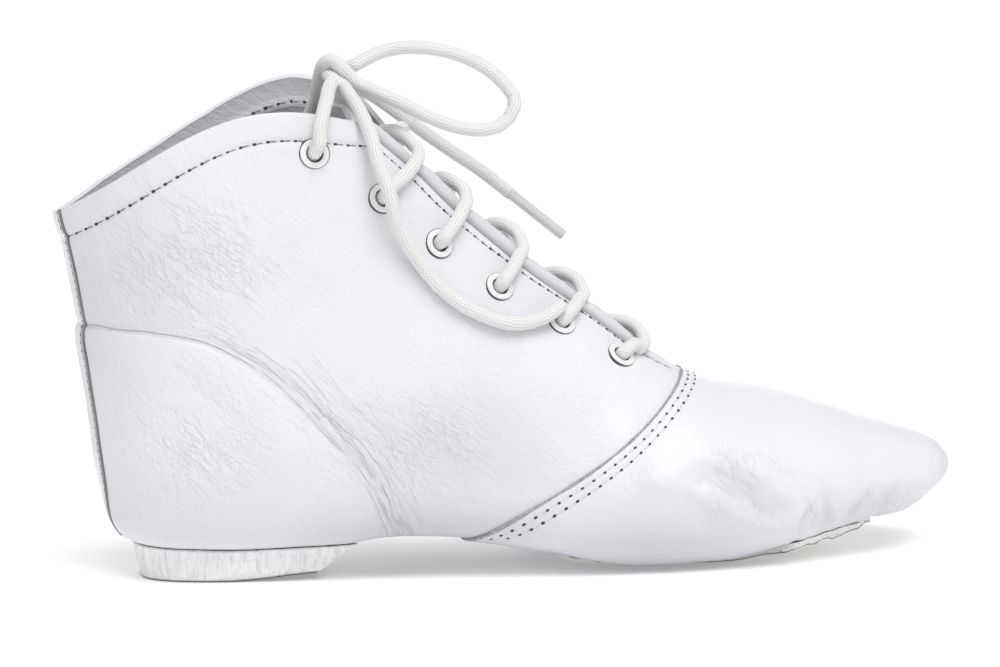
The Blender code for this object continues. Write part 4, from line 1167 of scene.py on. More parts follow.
def lace_finish():
    """Cotton braid, with painted shade between its yarns."""
    color = tuple(settings().lace.color)
    finish, tree, shader = new_finish("lace_braid", color, 0.8)
    fuzz = texture(tree, 30.0, (2600.0, 2600.0, 2600.0), 2.0)
    yarn = ramp(tree, attribute(tree, "yarn"), 0.0, 0.7)
    # painted shade in the grooves between the yarns
    feed(tree, shader, Base_Color=mix_color(tree, yarn, shade(color, (0.66, 0.65, 0.64)), color),
         Normal=bump(tree, fuzz, 0.00012, 0.6), Sheen_Weight=0.15)
    return finish


def streaked_finish(name, color, roughness, scale, depth, dirt, low=0.4, high=0.66):
    """Uneven finish: streaks or grain at a scale, in the colour and in the surface."""
    color = tuple(color)
    finish, tree, shader = new_finish(name, color, roughness)
    streak = texture(tree, 0.0, scale, 4.0, Roughness=0.6)
    fine = texture(tree, 0.0, shade(scale, 3.7), 2.0)
    feed(tree, shader, Base_Color=mix_color(tree, ramp(tree, streak, low, high), color, shade(color, dirt)),
         Normal=bump(tree, fine, 0.4 * depth, 0.6, bump(tree, streak, depth, 0.8)),
         Roughness=ramp(tree, fine, 0.3, 0.7, roughness - 0.08, roughness + 0.1))
    return finish


def heel_finish():
    """White paint with upright cracks, with a painted contact shadow along the lower rim and a darker bottom.
    """
    color = tuple(settings().bottom.heel_color)
    finish, tree, shader = new_finish("heel_paint", color, 0.45)
    cracks = texture(tree, 0.0, (560.0, 560.0, 60.0), 3.0, Roughness=0.55)
    lumps = texture(tree, 0.0, (420.0, 420.0, 200.0), 3.0)
    base = mix_color(tree, ramp(tree, cracks, 0.30, 0.42, 0.7, 0.0), color, shade(color, 0.72))
    normal = bump(tree, ramp(tree, cracks, 0.28, 0.62), 0.0007, 0.8, bump(tree, lumps, 0.0004, 0.6))
    # painted contact shadow along the lower rim, and the bottom made darker
    base = mix_color(tree, attribute(tree, "rim"), base, shade(color, 0.10))
    feed(tree, shader, Base_Color=base, Normal=normal, Roughness=ramp(tree, lumps, 0.3, 0.7, 0.36, 0.55))
    return finish


# Pieces


def lace_radius():
    """Half the lace's thickness, in millimetres."""
    return settings().lace.diameter / MM / 2


def lace_route(points):
    """A free cord's route, in millimetres."""
    return through(points, LACE_POINTS)


def add_cord(name, node, points):
    """Free length of lace from the knot."""
    route = lace_route(points)
    piece = add_piece(name, braid_shape(route), [get_finish("lace_braid")], (node,))
    return piece


def get_finish(name):
    """A finish that is made once."""
    sewing = settings().sewing
    if name not in bpy.data.materials and name == "lace_braid":
        lace_finish()
    if name not in bpy.data.materials:
        # the collar thread's dark colour is painted shade of its sunk groove
        color = {"thread_painted_shade": sewing.color, "thread_clean": sewing.clean_color,
                 "needle_hole_shadow": sewing.hole_shadow_color}[name]
        streaked_finish(name, color, 0.75, (1500.0, 1500.0, 1500.0), 0.00005, 0.8)
    return bpy.data.materials[name]


def tongue_surface(row, share):
    """Point and normal of the tongue's outer face, across the throat from flap edge -1 to flap edge 1."""
    flaps = []
    for side in (OUTER, INNER):
        edge = edge_length(row, side)
        reach = max(abs(share), 1.0) * edge if side * share > 0 else edge
        near = on_section(row, side, np.array((reach - 1.0, reach, reach + 1.0)))
        ahead = on_section(min(row + 0.05, COLLAR_ROW), side, np.array((reach,)))[0]
        behind = on_section(max(row - 0.05, 0.0), side, np.array((reach,)))[0]
        normal = unit(np.cross(near[2] - near[0], ahead - behind)) * side
        flaps.append((near[1], normal))
    blend = np.clip(0.5 + 0.5 * share, 0.0, 1.0)
    normal = unit(flaps[0][1] * (1.0 - blend) + flaps[1][1] * blend)
    point = flaps[0][0] * (1.0 - blend) + flaps[1][0] * blend
    arch = TONGUE_CROWN * (1.0 - min(1.0, share * share))
    sink = TONGUE_SINK + TONGUE_DROP * float(smooth(0.3, 1.05, abs(share))) - arch
    return point - normal * sink, normal


def eyelet_exit(side, eyelet, toward):
    """Lace up through an eyelet and round onto the leather, along a direction on it."""
    hole, out = on_leather(side, eyelet.row, eyelet.inset)
    ahead = unit(toward - out * (toward @ out))
    return [hole + ahead * along + out * over for along, over in EYELET_EXIT]


def crossing_route(low, high, side):
    """Lace out of an eyelet, round its flap edge, over the tongue and under the other flap to the next."""
    radius = lace_radius()
    wall = settings().leather.wall / MM
    step = high.row - low.row
    hole, _ = on_leather(side, low.row, low.inset)
    route = eyelet_exit(side, low, on_leather(side, low.row + low.lean * step * 0.3, low.inset - 4.0)[0] - hole)
    for share in (0.5, 0.76):
        point, normal = on_leather(side, low.row + low.lean * step * share, low.inset * (1.0 - share))
        route.append(point + normal * (radius + 0.4))
    for ahead, lift, past in ((0.0, 1.5, 0.2), (0.2, 1.3, 4.2)):
        row = low.row + (low.lean + ahead) * step
        edge, normal = on_leather(side, row, 0.0)
        inner, _ = on_leather(side, row, 1.5)
        beyond = unit(edge - inner - normal * ((edge - inner) @ normal))
        route.append(edge + normal * lift + beyond * past)
    # the strands of the outer flap lie over those of the inner one
    middle, normal = tongue_surface(low.row + (low.lean + 0.42) * step, side * 0.1)
    route.append(middle + normal * (radius + (3.4 if side == OUTER else 0.6)))
    near, normal = tongue_surface(low.row + max(low.lean + 0.5, 0.62) * step, -side * 0.8)
    route.append(near + normal * (radius + 0.4))
    first = max(low.lean + 0.55, 0.66)
    for share in (0.35, 0.7):
        point, normal = on_leather(-side, low.row + (first + (1.0 - first) * share) * step, high.inset * share)
        route.append(point - normal * (wall + radius + 0.4 + ROLL_OUT * (1.0 - share) * 0.3))
    hole, out = on_leather(-side, high.row, high.inset)
    route.append(hole - out * (wall + radius + 1.0))
    return route


def stitch_shapes(points, normals, pitch, share, sink):
    """Stitches along a line on the leather, and dark ovals between them that paint the shadow in the needle
    holes.
    """
    radius = settings().sewing.thread / MM / 2
    run = run_lengths(points)
    count = max(1, int(run[-1] / pitch))
    thread, holes = bmesh.new(), bmesh.new()
    for k in range(count):
        spots = []
        for part in (0.5 - share / 2, 0.5, 0.5 + share / 2):
            place = (k + part) * run[-1] / count
            spots.append(np.array([np.interp(place, run, points[:, axis]) for axis in range(3)]))
        middle = np.interp((k + 0.5) * run[-1] / count, run, np.arange(len(points)))
        normal = unit(normals[int(round(middle))])
        along = unit(spots[2] - spots[0])
        side = unit(np.cross(normal, along))
        turn = Matrix((along, side, np.cross(along, side))).transposed().to_4x4()
        half = np.linalg.norm(spots[2] - spots[0]) / 2
        size = Matrix.Diagonal((half * MM, radius * MM, radius * MM * THREAD_FLAT, 1.0))
        place = Matrix.Translation(Vector((spots[1] - normal * sink) * MM))
        bmesh.ops.create_uvsphere(thread, u_segments=6, v_segments=5, radius=1.0,
                                  matrix=place @ turn @ size @ Matrix.Rotation(math.pi / 2, 4, "Y"))
        place = Matrix.Translation(Vector((spots[2] + along * HOLE_AHEAD - normal * HOLE_SINK) * MM))
        size = Matrix.Diagonal((*(half * MM for half in NEEDLE_HOLE), 1.0))
        bmesh.ops.create_uvsphere(holes, u_segments=6, v_segments=4, radius=1.0, matrix=place @ turn @ size)
    return thread, holes


def level_line(grid, field, level, by_column):
    """Points and normals of a grid where a field passes a level, one for each column or row."""
    table = field.T if by_column else field
    points, normals = [], []
    for k, line in enumerate(table):
        above = line > level
        change = np.nonzero(above[1:] != above[:-1])[0]
        if len(change) == 0:
            continue
        first = int(change[-1] if by_column else change[0])
        part = (level - line[first]) / (line[first + 1] - line[first])
        i, j = (first + part, k) if by_column else (k, first + part)
        points.append(grid_at(grid.points, i, j))
        normals.append(grid_at(grid.normals, i, j))
    return np.array(points), np.array(normals)


def add_stitches(name, lines, pitch, share, sink, thread="thread_painted_shade"):
    """Stitches and the dark ovals that paint the needle holes' shadow, along lines, as two joined pieces."""
    threads, holes = [], []
    for points, normals in lines:
        stitches, punched = stitch_shapes(points, normals, pitch, share, sink)
        threads.append(stitches)
        holes.append(punched)
    add_piece(name, joined(threads), [get_finish(thread)])
    # dark ovals of painted shadow in the needle holes
    add_piece(name + "_holes", joined(holes), [get_finish("needle_hole_shadow")])


@lru_cache(maxsize=None)
def form_tree(depth):
    """Ray tree of the whole form at a depth under its outer face."""
    front = vamp()
    shapes = [grid_shape(front.points - front.normals * depth, wrap=True)]
    shapes += [grid_shape(part.points - part.normals * depth) for part in map(quarter, (OUTER, INNER))]
    whole = joined(shapes)
    tree = BVHTree.FromBMesh(whole)
    whole.free()
    return tree


def height(tree, x, y, start, step, fallback):
    """Height of the form over or under a place."""
    hit = tree.ray_cast(Vector((x, y, start)) * MM, Vector((0.0, 0.0, step)))[0]
    return hit.z / MM if hit else fallback


def underside(x, y, fallback):
    """Height of the leather's outer face over a place on the floor."""
    return height(form_tree(0.0), x, y, UNDER_START, 1.0, fallback)


def oval(power, count):
    """Points round a superellipse of half sizes 1."""
    angle = np.linspace(0.0, 2 * math.pi, count, endpoint=False)
    cos, sin = np.cos(angle), np.sin(angle)
    size = (np.abs(cos) ** power + np.abs(sin) ** power) ** (-1.0 / power)
    return np.column_stack((cos * size, sin * size))


def block_points(outline_top, outline_low, top_height, low_height, rim):
    """Closed block between two outlines: rings in from the top, down the wall and in over the bottom."""
    center_top, center_low = outline_top.mean(axis=0), outline_low.mean(axis=0)
    rings = []
    for share in np.concatenate((np.linspace(0.0, 0.92, 9), (0.97, 0.99, 1.0))):
        rings.append([(x, y, top_height(x, y)) for x, y in center_top + (outline_top - center_top) * share])
    top = np.array(rings[-1])
    low = np.array([(x, y, low_height(x, y)) for x, y in outline_low])
    rings += [top + (low - top) * share for share in np.linspace(0.0, 1.0, 12)[1:-1]]
    away = outline_low - center_low
    for turn in np.linspace(0.0, math.pi / 2, RIM_RINGS):
        ring = low.copy()
        ring[:, :2] -= away / np.linalg.norm(away, axis=1)[:, None] * rim * (1.0 - math.cos(turn))
        ring[:, 2] += rim * (1.0 - math.sin(turn))
        rings.append(ring)
    last = rings[-1]
    for share in np.linspace(1.0, 0.0, BOTTOM_RINGS + 1)[1:]:
        ring = last.copy()
        ring[:, :2] = center_low + (last[:, :2] - center_low) * share
        ring[:, 2] = [low_height(x, y) for x, y in ring[:, :2]]
        rings.append(ring)
    return np.array([np.asarray(ring, dtype=float) for ring in rings])


# Operators


class MakeStage(bpy.types.Operator):
    """Camera, floor and light"""
    bl_idname = "dance_boot.stage"
    bl_label = "Stage"

    def execute(self, context):
        """Camera as the photograph's, a pale floor and soft light."""
        stage, scene = settings().stage, bpy.context.scene
        white = (1.0, 1.0, 1.0, 1.0)
        scene.view_settings.view_transform = "Standard"
        self.add_camera(scene)
        shape = bmesh.new()
        bmesh.ops.create_grid(shape, x_segments=1, y_segments=1, size=FLOOR_HALF)
        mesh = bpy.data.meshes.new("floor")
        shape.to_mesh(mesh)
        shape.free()
        finish, tree, shader = new_finish("floor_white", tuple(stage.floor_color), 0.9)
        feed(tree, shader, Specular_IOR_Level=0.1, Emission_Color=white, Emission_Strength=FLOOR_GLOW)
        mesh.materials.append(finish)
        floor = bpy.data.objects.new("floor", mesh)
        scene.collection.objects.link(floor)
        world = bpy.data.worlds.new("studio")
        world.use_nodes = True
        scene.world = world
        tree = world.node_tree
        seen = add_node(tree, "ShaderNodeLightPath").outputs["Is Camera Ray"]
        strength = ramp(tree, seen, 0.0, 1.0, stage.sky, SEEN_SKY)
        feed(tree, tree.nodes["Background"], Color=white, Strength=strength)
        for lamp in LAMPS:
            light = bpy.data.lights.new(lamp.name, "SUN")
            light.energy = stage.lamps * lamp.strength
            light.angle = math.radians(lamp.width)
            piece = bpy.data.objects.new(lamp.name, light)
            piece.rotation_euler = (-Vector(lamp.place)).to_track_quat("-Z", "Y").to_euler()
            scene.collection.objects.link(piece)
        return {"FINISHED"}

    def add_camera(self, scene):
        """Camera fitted to the photograph."""
        place, aim = np.array(CAMERA_PLACE), np.array(CAMERA_AIM)
        ahead = unit(aim - place)
        level = unit(np.cross(ahead, (0.0, 0.0, 1.0)))
        rise = np.cross(level, ahead)
        roll = math.radians(CAMERA_ROLL)
        right = level * math.cos(roll) - rise * math.sin(roll)
        up = rise * math.cos(roll) + level * math.sin(roll)
        lens = bpy.data.cameras.new("camera")
        lens.sensor_width = SENSOR_WIDTH
        lens.lens = CAMERA_FOCAL_PIXELS * SENSOR_WIDTH / IMAGE_WIDTH
        lens.clip_start = 0.01
        camera = bpy.data.objects.new("camera", lens)
        turn = Matrix((right, up, -ahead)).transposed().to_4x4()
        camera.matrix_world = Matrix.Translation(Vector(place * MM)) @ turn
        scene.collection.objects.link(camera)
        scene.camera = camera


class MakeLaceEnds(bpy.types.Operator):
    """Bow loop, free ends, hard tip and knot"""
    bl_idname = "dance_boot.lace_ends"
    bl_label = "Lace ends"

    def execute(self, context):
        """Free lengths of the lace, and the knot that they leave."""
        tip = self.add_tip()
        add_cord("bow_loop", "lace_loop", LOOP_ROUTE)
        add_cord("side_lace", "lace_end_side", SIDE_END_ROUTE)
        add_cord("front_lace", "lace_end_front", FRONT_END_ROUTE)
        strands = []
        for route, side in ((OVER_STRAND, INNER), (THROUGH_STRAND, OUTER)):
            start = eyelet_exit(side, EYELETS[0], np.array((0.2, 0.0, 1.0)))
            strands.append(braid_shape(through(start + list(route), KNOT_POINTS)))
        strands.append(braid_shape(through(TURN_STRAND, TURN_POINTS)))
        add_piece("bow_knot", joined(strands), [get_finish("lace_braid")], ("lace_knot",))
        return {"FINISHED"}

    def add_tip(self):
        """Hard tip: a clear sleeve round the end of the lace, nipped at its mouth."""
        lace = settings().lace
        route = lace_route(FRONT_END_ROUTE)
        along = unit(route[-1] - route[-2])
        radius, length = lace.tip_diameter / MM / 2, lace.tip_length / MM + TIP_GRIP
        profile = ((radius * 1.16, 0.0), (radius * 1.2, 0.3), (radius * 1.1, 0.9), (radius, 1.8),
                   (radius, length - 0.4), (radius * 0.93, length), (radius * 0.72, length),
                   (radius * 0.66, length - 0.9), (0.0, length - 1.0))
        shape = turned_shape(profile, 24)
        bmesh.ops.holes_fill(shape, edges=[edge for edge in shape.edges if edge.is_boundary], sides=0)
        bmesh.ops.recalc_face_normals(shape, faces=shape.faces)
        stand(shape, route[-1] - along * TIP_GRIP, along)
        color = tuple(lace.tip_color)
        finish, tree, shader = new_finish("tip_clear", color, 0.22)
        weave = ramp(tree, texture(tree, 38.0, (60.0, 700.0, 700.0), 2.0), 0.35, 0.65)
        feed(tree, shader, Base_Color=mix_color(tree, weave, color, shade(color, 0.9)), Coat_Weight=0.6)
        return add_piece("front_lace_tip", shape, [finish], ("lace_tip",))


class MakeLacing(bpy.types.Operator):
    """Lace through the eyelets"""
    bl_idname = "dance_boot.lacing"
    bl_label = "Lacing"

    def execute(self, context):
        """One strand from each eyelet to the next higher one on the other flap."""
        strands = [braid_shape(through(crossing_route(low, high, side), CROSSING_POINTS))
                   for low, high in zip(EYELETS[1:], EYELETS) for side in (OUTER, INNER)]
        nodes = [f"lace_crossing_{k}" for k in range(1, len(EYELETS))]
        add_piece("lacing", joined(strands), [get_finish("lace_braid")], nodes)
        return {"FINISHED"}


class MakeEyelets(bpy.types.Operator):
    """Painted eyelets"""
    bl_idname = "dance_boot.eyelets"
    bl_label = "Eyelets"

    def execute(self, context):
        """Turned rings on the leather, each with its barrel."""
        shapes = []
        for eyelet in EYELETS:
            for side in (OUTER, INNER):
                shape = self.ring()
                hole, out = on_leather(side, eyelet.row, eyelet.inset)
                stand(shape, hole + out * 0.15, out)
                shapes.append(shape)
        color = tuple(settings().lace.eyelet_color)
        paint, tree, shader = new_finish("eyelet_paint", color, 0.3)
        wear = texture(tree, 0.0, (700.0, 700.0, 700.0), 2.0)
        base = mix_color(tree, ramp(tree, wear, 0.4, 0.66), color, shade(color, 0.92))
        # painted shadow: the skirt round the flange and the barrel, nearly black
        base = mix_color(tree, attribute(tree, "eyelet_shadow"), base, shade(color, 0.05))
        feed(tree, shader, Base_Color=base, Normal=bump(tree, wear, 0.00004, 0.6), Coat_Weight=0.4)
        nodes = [f"eyelet_{label}_{k + 1}" for label in ("outer", "inner") for k in range(len(EYELETS))]
        add_piece("eyelet_rings", joined(shapes), [paint], nodes)
        return {"FINISHED"}

    def ring(self):
        """Rolled flange and barrel, with painted shadow on a dark skirt round the flange and in the barrel."""
        wall = settings().leather.wall / MM
        middle, thick = (EYELET_FLANGE + EYELET_BORE) / 2, (EYELET_FLANGE - EYELET_BORE) / 2
        # a dark skirt that sinks into the leather round the flange, a painted shadow at the eyelet's edge
        profile = [(EYELET_FLANGE + 0.6, -0.4), (EYELET_FLANGE + 0.02, 0.16)]
        for angle in np.linspace(0.0, math.pi, 13):
            across = math.copysign(abs(math.cos(angle)) ** 0.55, math.cos(angle))
            profile.append((middle + thick * across, 0.2 + 0.4 * math.sin(angle) ** 0.7))
        shape = turned_shape(profile + [(EYELET_BORE, -wall - 0.3)], 32)
        eyelet_shadow = shape.verts.layers.float.new("eyelet_shadow")
        for vert in shape.verts:
            reach = math.hypot(vert.co.x, vert.co.y) / MM
            vert[eyelet_shadow] = 1.0 if reach > EYELET_FLANGE + 0.01 or vert.co.z < -0.1 * MM else 0.0
        top = max(shape.faces, key=lambda face: face.calc_center_median().z)
        if top.normal.z < 0.0:
            bmesh.ops.reverse_faces(shape, faces=shape.faces)
        return shape


class MakeUpper(bpy.types.Operator):
    """Quarters and vamp"""
    bl_idname = "dance_boot.upper"
    bl_label = "Upper"

    def execute(self, context):
        """Two quarters with turned edges, and the vamp lapped over them."""
        leather = settings().leather
        lining = lining_finish()
        quarter_leather = leather_finish("quarter_leather", 38.0)
        for side, name in ((OUTER, "quarter_outer"), (INNER, "quarter_inner")):
            part = quarter(side)
            layers = {"worn": part.worn, "soil": part.soil, "line": part.line, "to_collar": part.to_collar,
                      "folds": part.folds, "fold_place": part.fold_place}
            shape = grid_shape(part.points, layers)
            face_like(shape, part.normals, part.points)
            self.cut_holes(shape, side)
            nodes = ("upper",) if side == OUTER else ()
            piece = add_piece(name, shape, [quarter_leather, lining], nodes)
            add_wall(piece, leather.wall, rounding=0.55 * MM, inner_slot=1)
        front = vamp()
        layers = {"worn": front.worn, "soil": front.soil, "to_collar": np.full(front.worn.shape, FAR)}
        shape = grid_shape(front.points, layers, wrap=True)
        face_like(shape, front.normals, front.points)
        vamp_leather = leather_finish("vamp_leather", 62.0, 0.00036)
        piece = add_piece("vamp", shape, [vamp_leather, lining])
        add_wall(piece, leather.vamp_wall, rounding=0.2 * MM, inner_slot=1)
        return {"FINISHED"}

    def cut_holes(self, shape, side):
        """Open the leather inside each eyelet."""
        for eyelet in EYELETS:
            hole, _ = on_leather(side, eyelet.row, eyelet.inset)
            spot = Vector(hole * MM)
            inside = [face for face in shape.faces
                      if (face.calc_center_median() - spot).length < (EYELET_BORE + 0.4) * MM]
            bmesh.ops.delete(shape, geom=inside, context="FACES")


class MakeBackStrip(bpy.types.Operator):
    """Strip over the back seam"""
    bl_idname = "dance_boot.back_strip"
    bl_label = "Back strip"

    def execute(self, context):
        """Leather strip up the back, sewn down along both edges."""
        points, normals = [], []
        shares = np.linspace(-1.0, 1.0, STRIP_COLUMNS + 1)
        for row in np.linspace(STRIP_LOW_ROW, COLLAR_ROW - 0.01, STRIP_ROWS):
            line, outs = [], []
            for share in shares:
                part = quarter(OUTER if share <= 0.0 else INNER)
                i = float(np.interp(row, part.rows, np.arange(len(part.rows))))
                run = part.lengths[int(round(i))]
                j = float(np.interp(run[-1] - abs(share) * STRIP_HALF, run, np.arange(len(run))))
                line.append(grid_at(part.points, i, j))
                outs.append(grid_at(part.normals, i, j))
            outs = unit(np.array(outs))
            points.append(line)
            normals.append(unit(outs + outs[::-1] * np.array((1.0, -1.0, 1.0))))
        points, normals = np.array(points), np.array(normals)
        lift = 0.8 * STRIP_WALL - 0.3 * bell(np.abs(shares) - 0.8, 0.07)[None, :]
        lift = lift - 0.15 * bell(shares, 0.05)[None, :] + 0.10 * noise(points, 5.0, 31)
        points = points + normals * lift[..., None]
        # painted dark line of shade along both edges of the strip, where it meets the quarters
        rim = np.broadcast_to(0.9 * smooth(0.92, 0.96, np.abs(shares)), lift.shape)
        shape = grid_shape(points, {"worn": np.full(lift.shape, 0.35), "line": rim})
        face_like(shape, normals, points)
        piece = add_piece("back_seam_strip", shape, [leather_finish("strip_leather", 80.0)],
                          ("back_strip",))
        add_wall(piece, STRIP_WALL * MM, rounding=0.3 * MM)
        edge = int(STRIP_SEWN * STRIP_COLUMNS)
        sewn = [(points[2:-2, column], normals[2:-2, column]) for column in (edge, STRIP_COLUMNS - edge)]
        add_stitches("back_strip_stitches", sewn, settings().sewing.strip_pitch / MM, share=0.66, sink=0.1)
        return {"FINISHED"}


class MakeStitches(bpy.types.Operator):
    """Stitches of the collar, the flaps and the vamp seam"""
    bl_idname = "dance_boot.stitches"
    bl_label = "Stitches"

    def execute(self, context):
        """Rows of stitches along the leather's edges."""
        sewing, leather = settings().sewing, settings().leather
        cuff = leather.cuff_width / MM
        collar, flaps, inside = [], [], []
        for side in (OUTER, INNER):
            part = quarter(side)
            first = int(np.argmax(part.to_edge[-1] > flap_inset(COLLAR_ROW - 0.5) + 0.6))
            points, normals = level_line(part, part.to_collar, cuff, True)
            keep = points.shape[0] - first
            points, normals = points[-keep:], normals[-keep:]
            inset = flap_inset(part.rows[:, None]) - part.to_edge
            down, down_normals = level_line(part, -inset, 0.0, False)
            low = int(np.argmax(part.rows > SEAM_ROW + 0.15))
            high = int(np.argmax(part.to_collar[:, FLAP_COLUMNS] < cuff + 0.2))
            collar.append((points, normals))
            flaps.append((down[low:high], down_normals[low:high]))
            inside.append((points - normals * (leather.wall / MM), -normals))
        add_stitches("collar_stitches", collar, sewing.collar_pitch / MM, share=0.62, sink=0.12)
        add_stitches("flap_stitches", flaps, sewing.flap_pitch / MM, share=0.6, sink=0.12)
        add_stitches("collar_inside_stitches", inside, sewing.collar_pitch / MM, share=0.62, sink=0.1)
        front = vamp()
        rows = []
        for inset in SEAM_STITCHES:
            points, normals = level_line(front, -front.to_seam, -inset, True)
            points, normals = np.roll(points, 1, axis=0), np.roll(normals, 1, axis=0)
            keep = points[:, 2] >= SEAM_LOW_Z
            rows.append((points[keep], normals[keep]))
        add_stitches("vamp_stitches", rows, sewing.seam_pitch / MM, share=0.72, sink=0.1, thread="thread_clean")
        edge = np.roll(front.points[-1] - front.normals[-1] * CUT_EDGE_SINK, 1, axis=0)
        edge = edge[edge[:, 2] > CUT_EDGE_LOW_Z]
        bead = tube_shape(spread(edge, CUT_EDGE_POINTS), CUT_EDGE_RADIUS)
        # the vamp's cut edge is painted grey as shade, since it faces back
        finish = streaked_finish("cut_edge", leather.cut_edge_shade_color, 0.8, (1100.0, 1100.0, 1100.0), 0.0002,
                                 (0.62, 0.62, 0.63))
        add_piece("vamp_cut_edge", bead, [finish])
        return {"FINISHED"}


class MakeTongue(bpy.types.Operator):
    """Tongue"""
    bl_idname = "dance_boot.tongue"
    bl_label = "Tongue"

    def execute(self, context):
        """Soft tongue under the lacing, falling away under the flaps."""
        points, normals = [], []
        for row in np.linspace(TONGUE_LOW_ROW, COLLAR_ROW, TONGUE_ROWS):
            half = TONGUE_HALF - TONGUE_TAPER * (row - SEAM_ROW) / (COLLAR_ROW - SEAM_ROW)
            shares = np.linspace(-half, half, TONGUE_COLUMNS)
            line, outs = zip(*(tongue_surface(row, share) for share in shares))
            points.append(line)
            normals.append(outs)
        points, normals = np.array(points), np.array(normals)
        out = 0.3 * noise(points, 9.0, 41) + 0.12 * noise(points, 3.0, 42)
        points = points + normals * out[..., None]
        shape = grid_shape(points, {"worn": np.full(out.shape, 0.5)})
        face_like(shape, normals, points)
        finish = leather_finish("tongue_leather", 60.0)
        piece = add_piece("throat_tongue", shape, [finish], ("tongue",))
        add_wall(piece, TONGUE_WALL * MM, rounding=0.4 * MM)
        return {"FINISHED"}


class MakeInsole(bpy.types.Operator):
    """Sock inside"""
    bl_idname = "dance_boot.insole"
    bl_label = "Sock"

    def execute(self, context):
        """Thin sock over the whole bottom inside, with round ends."""
        bottom = settings().bottom
        tree = form_tree(settings().leather.wall / MM)
        thick = bottom.insole_thickness / MM
        grid = []
        for x in np.linspace(SOCK_BACK_X, SOCK_FRONT_X, SOCK_ROWS):
            past = max(0.0, (SOCK_BACK_X + SOCK_BACK_ROUND - x) / SOCK_BACK_ROUND,
                       (x - SOCK_FRONT_X + SOCK_FRONT_ROUND) / SOCK_FRONT_ROUND)
            round_off = math.sqrt(1.0 - 0.96 * past ** 2)
            center = height(tree, x, 2.0, 26.0, -1.0, 12.0)
            level = center + 3.2
            reach = []
            for side in (OUTER, INNER):
                hit = tree.ray_cast(Vector((x, 2.0, level)) * MM, Vector((0.0, side, 0.0)))[0]
                reach.append((hit.y / MM - side * 1.0 if hit else side * SOCK_FALLBACK_HALF) * round_off)
            line = []
            for share in np.linspace(0.0, 1.0, SOCK_COLUMNS):
                y = reach[0] + (0.5 - 0.5 * math.cos(math.pi * share)) * (reach[1] - reach[0])
                line.append((x, y, height(tree, x, y, level + 4.0, -1.0, center) + FIT_GAP + thick))
            grid.append(line)
        points = np.array(grid)
        points[..., 2] += 0.12 * noise(points, 8.0, 51)
        shape = grid_shape(points)
        bmesh.ops.smooth_vert(shape, verts=shape.verts, factor=0.5, use_axis_z=True)
        face_like(shape, np.broadcast_to((0.0, 0.0, 1.0), points.shape), points)
        finish = streaked_finish("insole_fabric", bottom.insole_color, 0.85, (900.0, 900.0, 900.0), 0.0001,
                                 0.86)
        piece = add_piece("sock", shape, [finish], ("insole",))
        add_wall(piece, thick * MM, rounding=0.3 * MM)
        return {"FINISHED"}


class MakeFrontSole(bpy.types.Operator):
    """Front sole"""
    bl_idname = "dance_boot.front_sole"
    bl_label = "Front sole"

    def execute(self, context):
        """Suede patch under the forefoot with a rough, chipped edge."""
        bottom = settings().bottom
        thick = bottom.sole_thickness / MM
        middle, half = (SOLE_FRONT_X + SOLE_BACK_X) / 2, (SOLE_FRONT_X - SOLE_BACK_X) / 2

        def middle_line(x):
            return 2.5 * smooth(middle, SOLE_FRONT_X, x) - 1.5

        def floor(x, y):
            spine = underside(x, float(middle_line(x)), 4.0)
            local = underside(x, y, spine)
            thin = thick * (1.0 - 0.35 * float(smooth(170.0, 188.0, x)))
            return max(0.0, spine + (local - spine) * float(smooth(138.0, 154.0, x)) - FIT_GAP - thin)

        def ceiling(x, y):
            return max(underside(x, y, floor(x, y) + thick) - FIT_GAP, floor(x, y) + 0.8)

        ring = oval(SOLE_SQUARE, 220)
        x = middle + half * ring[:, 0]
        narrow = 0.14 * smooth(middle, SOLE_FRONT_X, x) + 0.32 * (1.0 - smooth(150.0, 160.0, x))
        y = middle_line(x) + SOLE_HALF_WIDTH * ring[:, 1] * (1.0 - narrow)
        flat = np.column_stack((x, y, np.zeros(len(x))))
        ragged = 0.6 * noise(flat, 3.0, 61) + 0.5 * noise(flat, 1.1, 62)
        outline = flat[:, :2] + ring * ragged[:, None]
        points = block_points(outline, outline, ceiling, floor, 0.5)
        reach = np.linalg.norm((points[..., :2] - outline.mean(axis=0)) / (half, 30.0), axis=-1)
        chips = 0.4 * noise(points, 1.5, 63) + 0.35 * noise(points, 4.5, 64)
        points[..., 2] += smooth(0.80, 0.97, reach) * (points[..., 2] > 0.4) * chips
        finish = streaked_finish("sole_suede", bottom.sole_color, 0.92, (700.0, 700.0, 800.0), 0.0006,
                                 (0.40, 0.38, 0.35), 0.60, 0.72)
        add_piece("forefoot_sole", closed_shape(points), [finish], ("front_sole",))
        return {"FINISHED"}


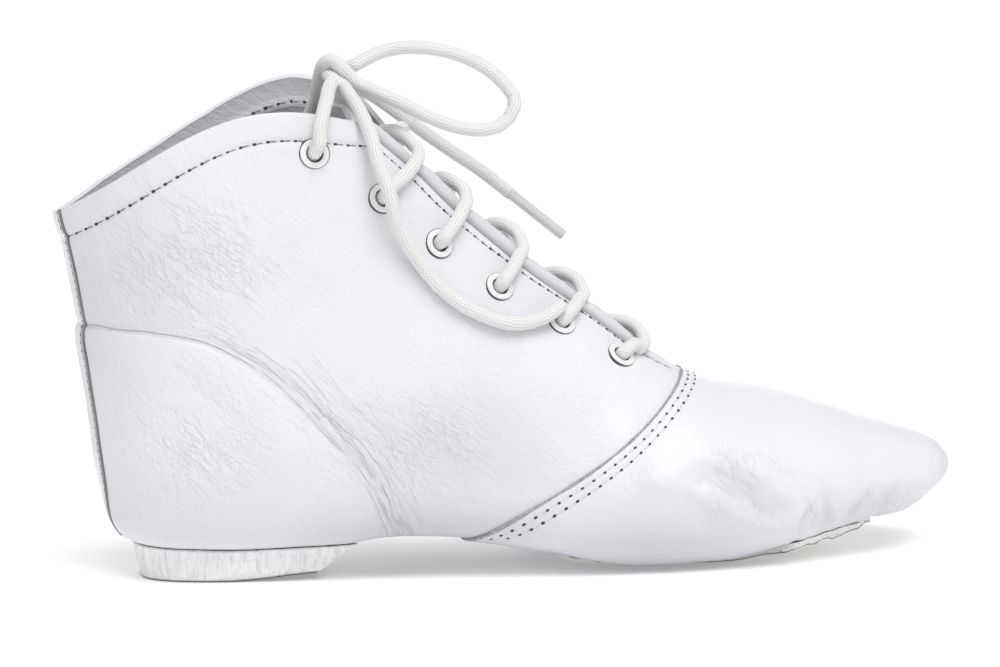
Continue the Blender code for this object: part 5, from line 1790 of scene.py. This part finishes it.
class MakeHeel(bpy.types.Operator):
    """Heel"""
    bl_idname = "dance_boot.heel"
    bl_label = "Heel"

    def execute(self, context):
        """Low painted block: round at the back, with a slanted breast and a painted contact shadow along its
        lower rim.
        """
        ring = oval(HEEL_SQUARE, 400)
        ring = ring[ring[:, 0] >= 0.0]
        ring = ring[np.argsort(np.arctan2(ring[:, 1], ring[:, 0]))]
        breast = np.column_stack((np.zeros(58), np.linspace(1.0, -1.0, 60)[1:-1]))
        ring = spread(np.vstack((ring, breast, ring[:1])), 260)[:-1]
        top, low = (np.column_stack((front - (front - back) * ring[:, 0], half * ring[:, 1] + HEEL_SHIFT_Y))
                    for front, back, half in ((HEEL_BREAST_TOP_X, HEEL_BACK_TOP_X, HEEL_TOP_HALF),
                                              (HEEL_BREAST_LOW_X, HEEL_BACK_LOW_X, HEEL_LOW_HALF)))
        points = block_points(top, low, lambda x, y: underside(x, y, 11.0) - FIT_GAP,
                              lambda x, y: 2.0 * float(smooth(-6.0, 26.0, x)), 0.7)
        wall = (points[..., 2] > 0.8) & (points[..., 2] < 10.0)
        away = points[..., :2] - low.mean(axis=0)
        away = away / np.maximum(np.linalg.norm(away, axis=-1, keepdims=True), 1.0)
        rough = 0.24 * noise(points * (1.0, 1.0, 0.2), 1.2, 71)
        rough = rough + 0.16 * noise(points * (1.0, 1.0, 0.4), 3.5, 72)
        points[..., :2] += away * (rough * wall)[..., None]
        # painted contact shadow on the lower rim's rings, and the bottom made darker
        worn = np.zeros(points.shape[:2])
        worn[-RIM_RINGS - BOTTOM_RINGS:-BOTTOM_RINGS] = np.array((0.0, 0.6, 1.0, 1.0, 1.0, 0.9))[:, None]
        worn[-BOTTOM_RINGS:] = 0.35
        add_piece("heel_block", closed_shape(points, {"rim": worn}), [heel_finish()], ("heel",))
        return {"FINISHED"}


PIECES = (MakeStage, MakeLaceEnds, MakeLacing, MakeEyelets, MakeUpper, MakeBackStrip, MakeStitches, MakeTongue,
          MakeInsole, MakeFrontSole, MakeHeel)


class BootPanel(bpy.types.Panel):
    """Sidebar list of the boot's pieces and settings"""
    bl_idname = "VIEW3D_PT_dance_boot"
    bl_label = "Dance boot"
    bl_space_type = "VIEW_3D"
    bl_region_type = "UI"
    bl_category = "Boot"

    def draw(self, context):
        """Buttons for the pieces, then the settings."""
        for piece in PIECES:
            self.layout.operator(piece.bl_idname)
        for group in ("leather", "sewing", "lace", "bottom", "stage"):
            box = self.layout.box()
            values = getattr(context.scene.dance_boot, group)
            for name in values.__annotations__:
                box.prop(values, name)


CLASSES = (BootLeather, BootSewing, BootLace, BootBottom, BootStage, BootSettings, *PIECES, BootPanel)


def register():
    """Register the classes and the scene's settings."""
    for entry in CLASSES:
        bpy.utils.register_class(entry)
    bpy.types.Scene.dance_boot = PointerProperty(type=BootSettings)


def unregister():
    """Take the classes and the settings away."""
    del bpy.types.Scene.dance_boot
    for entry in reversed(CLASSES):
        bpy.utils.unregister_class(entry)


def main():
    """Dress the boot."""
    register()
    for piece in PIECES:
        group, name = piece.bl_idname.split(".")
        getattr(getattr(bpy.ops, group), name)()


if __name__ == "__main__":
    main()
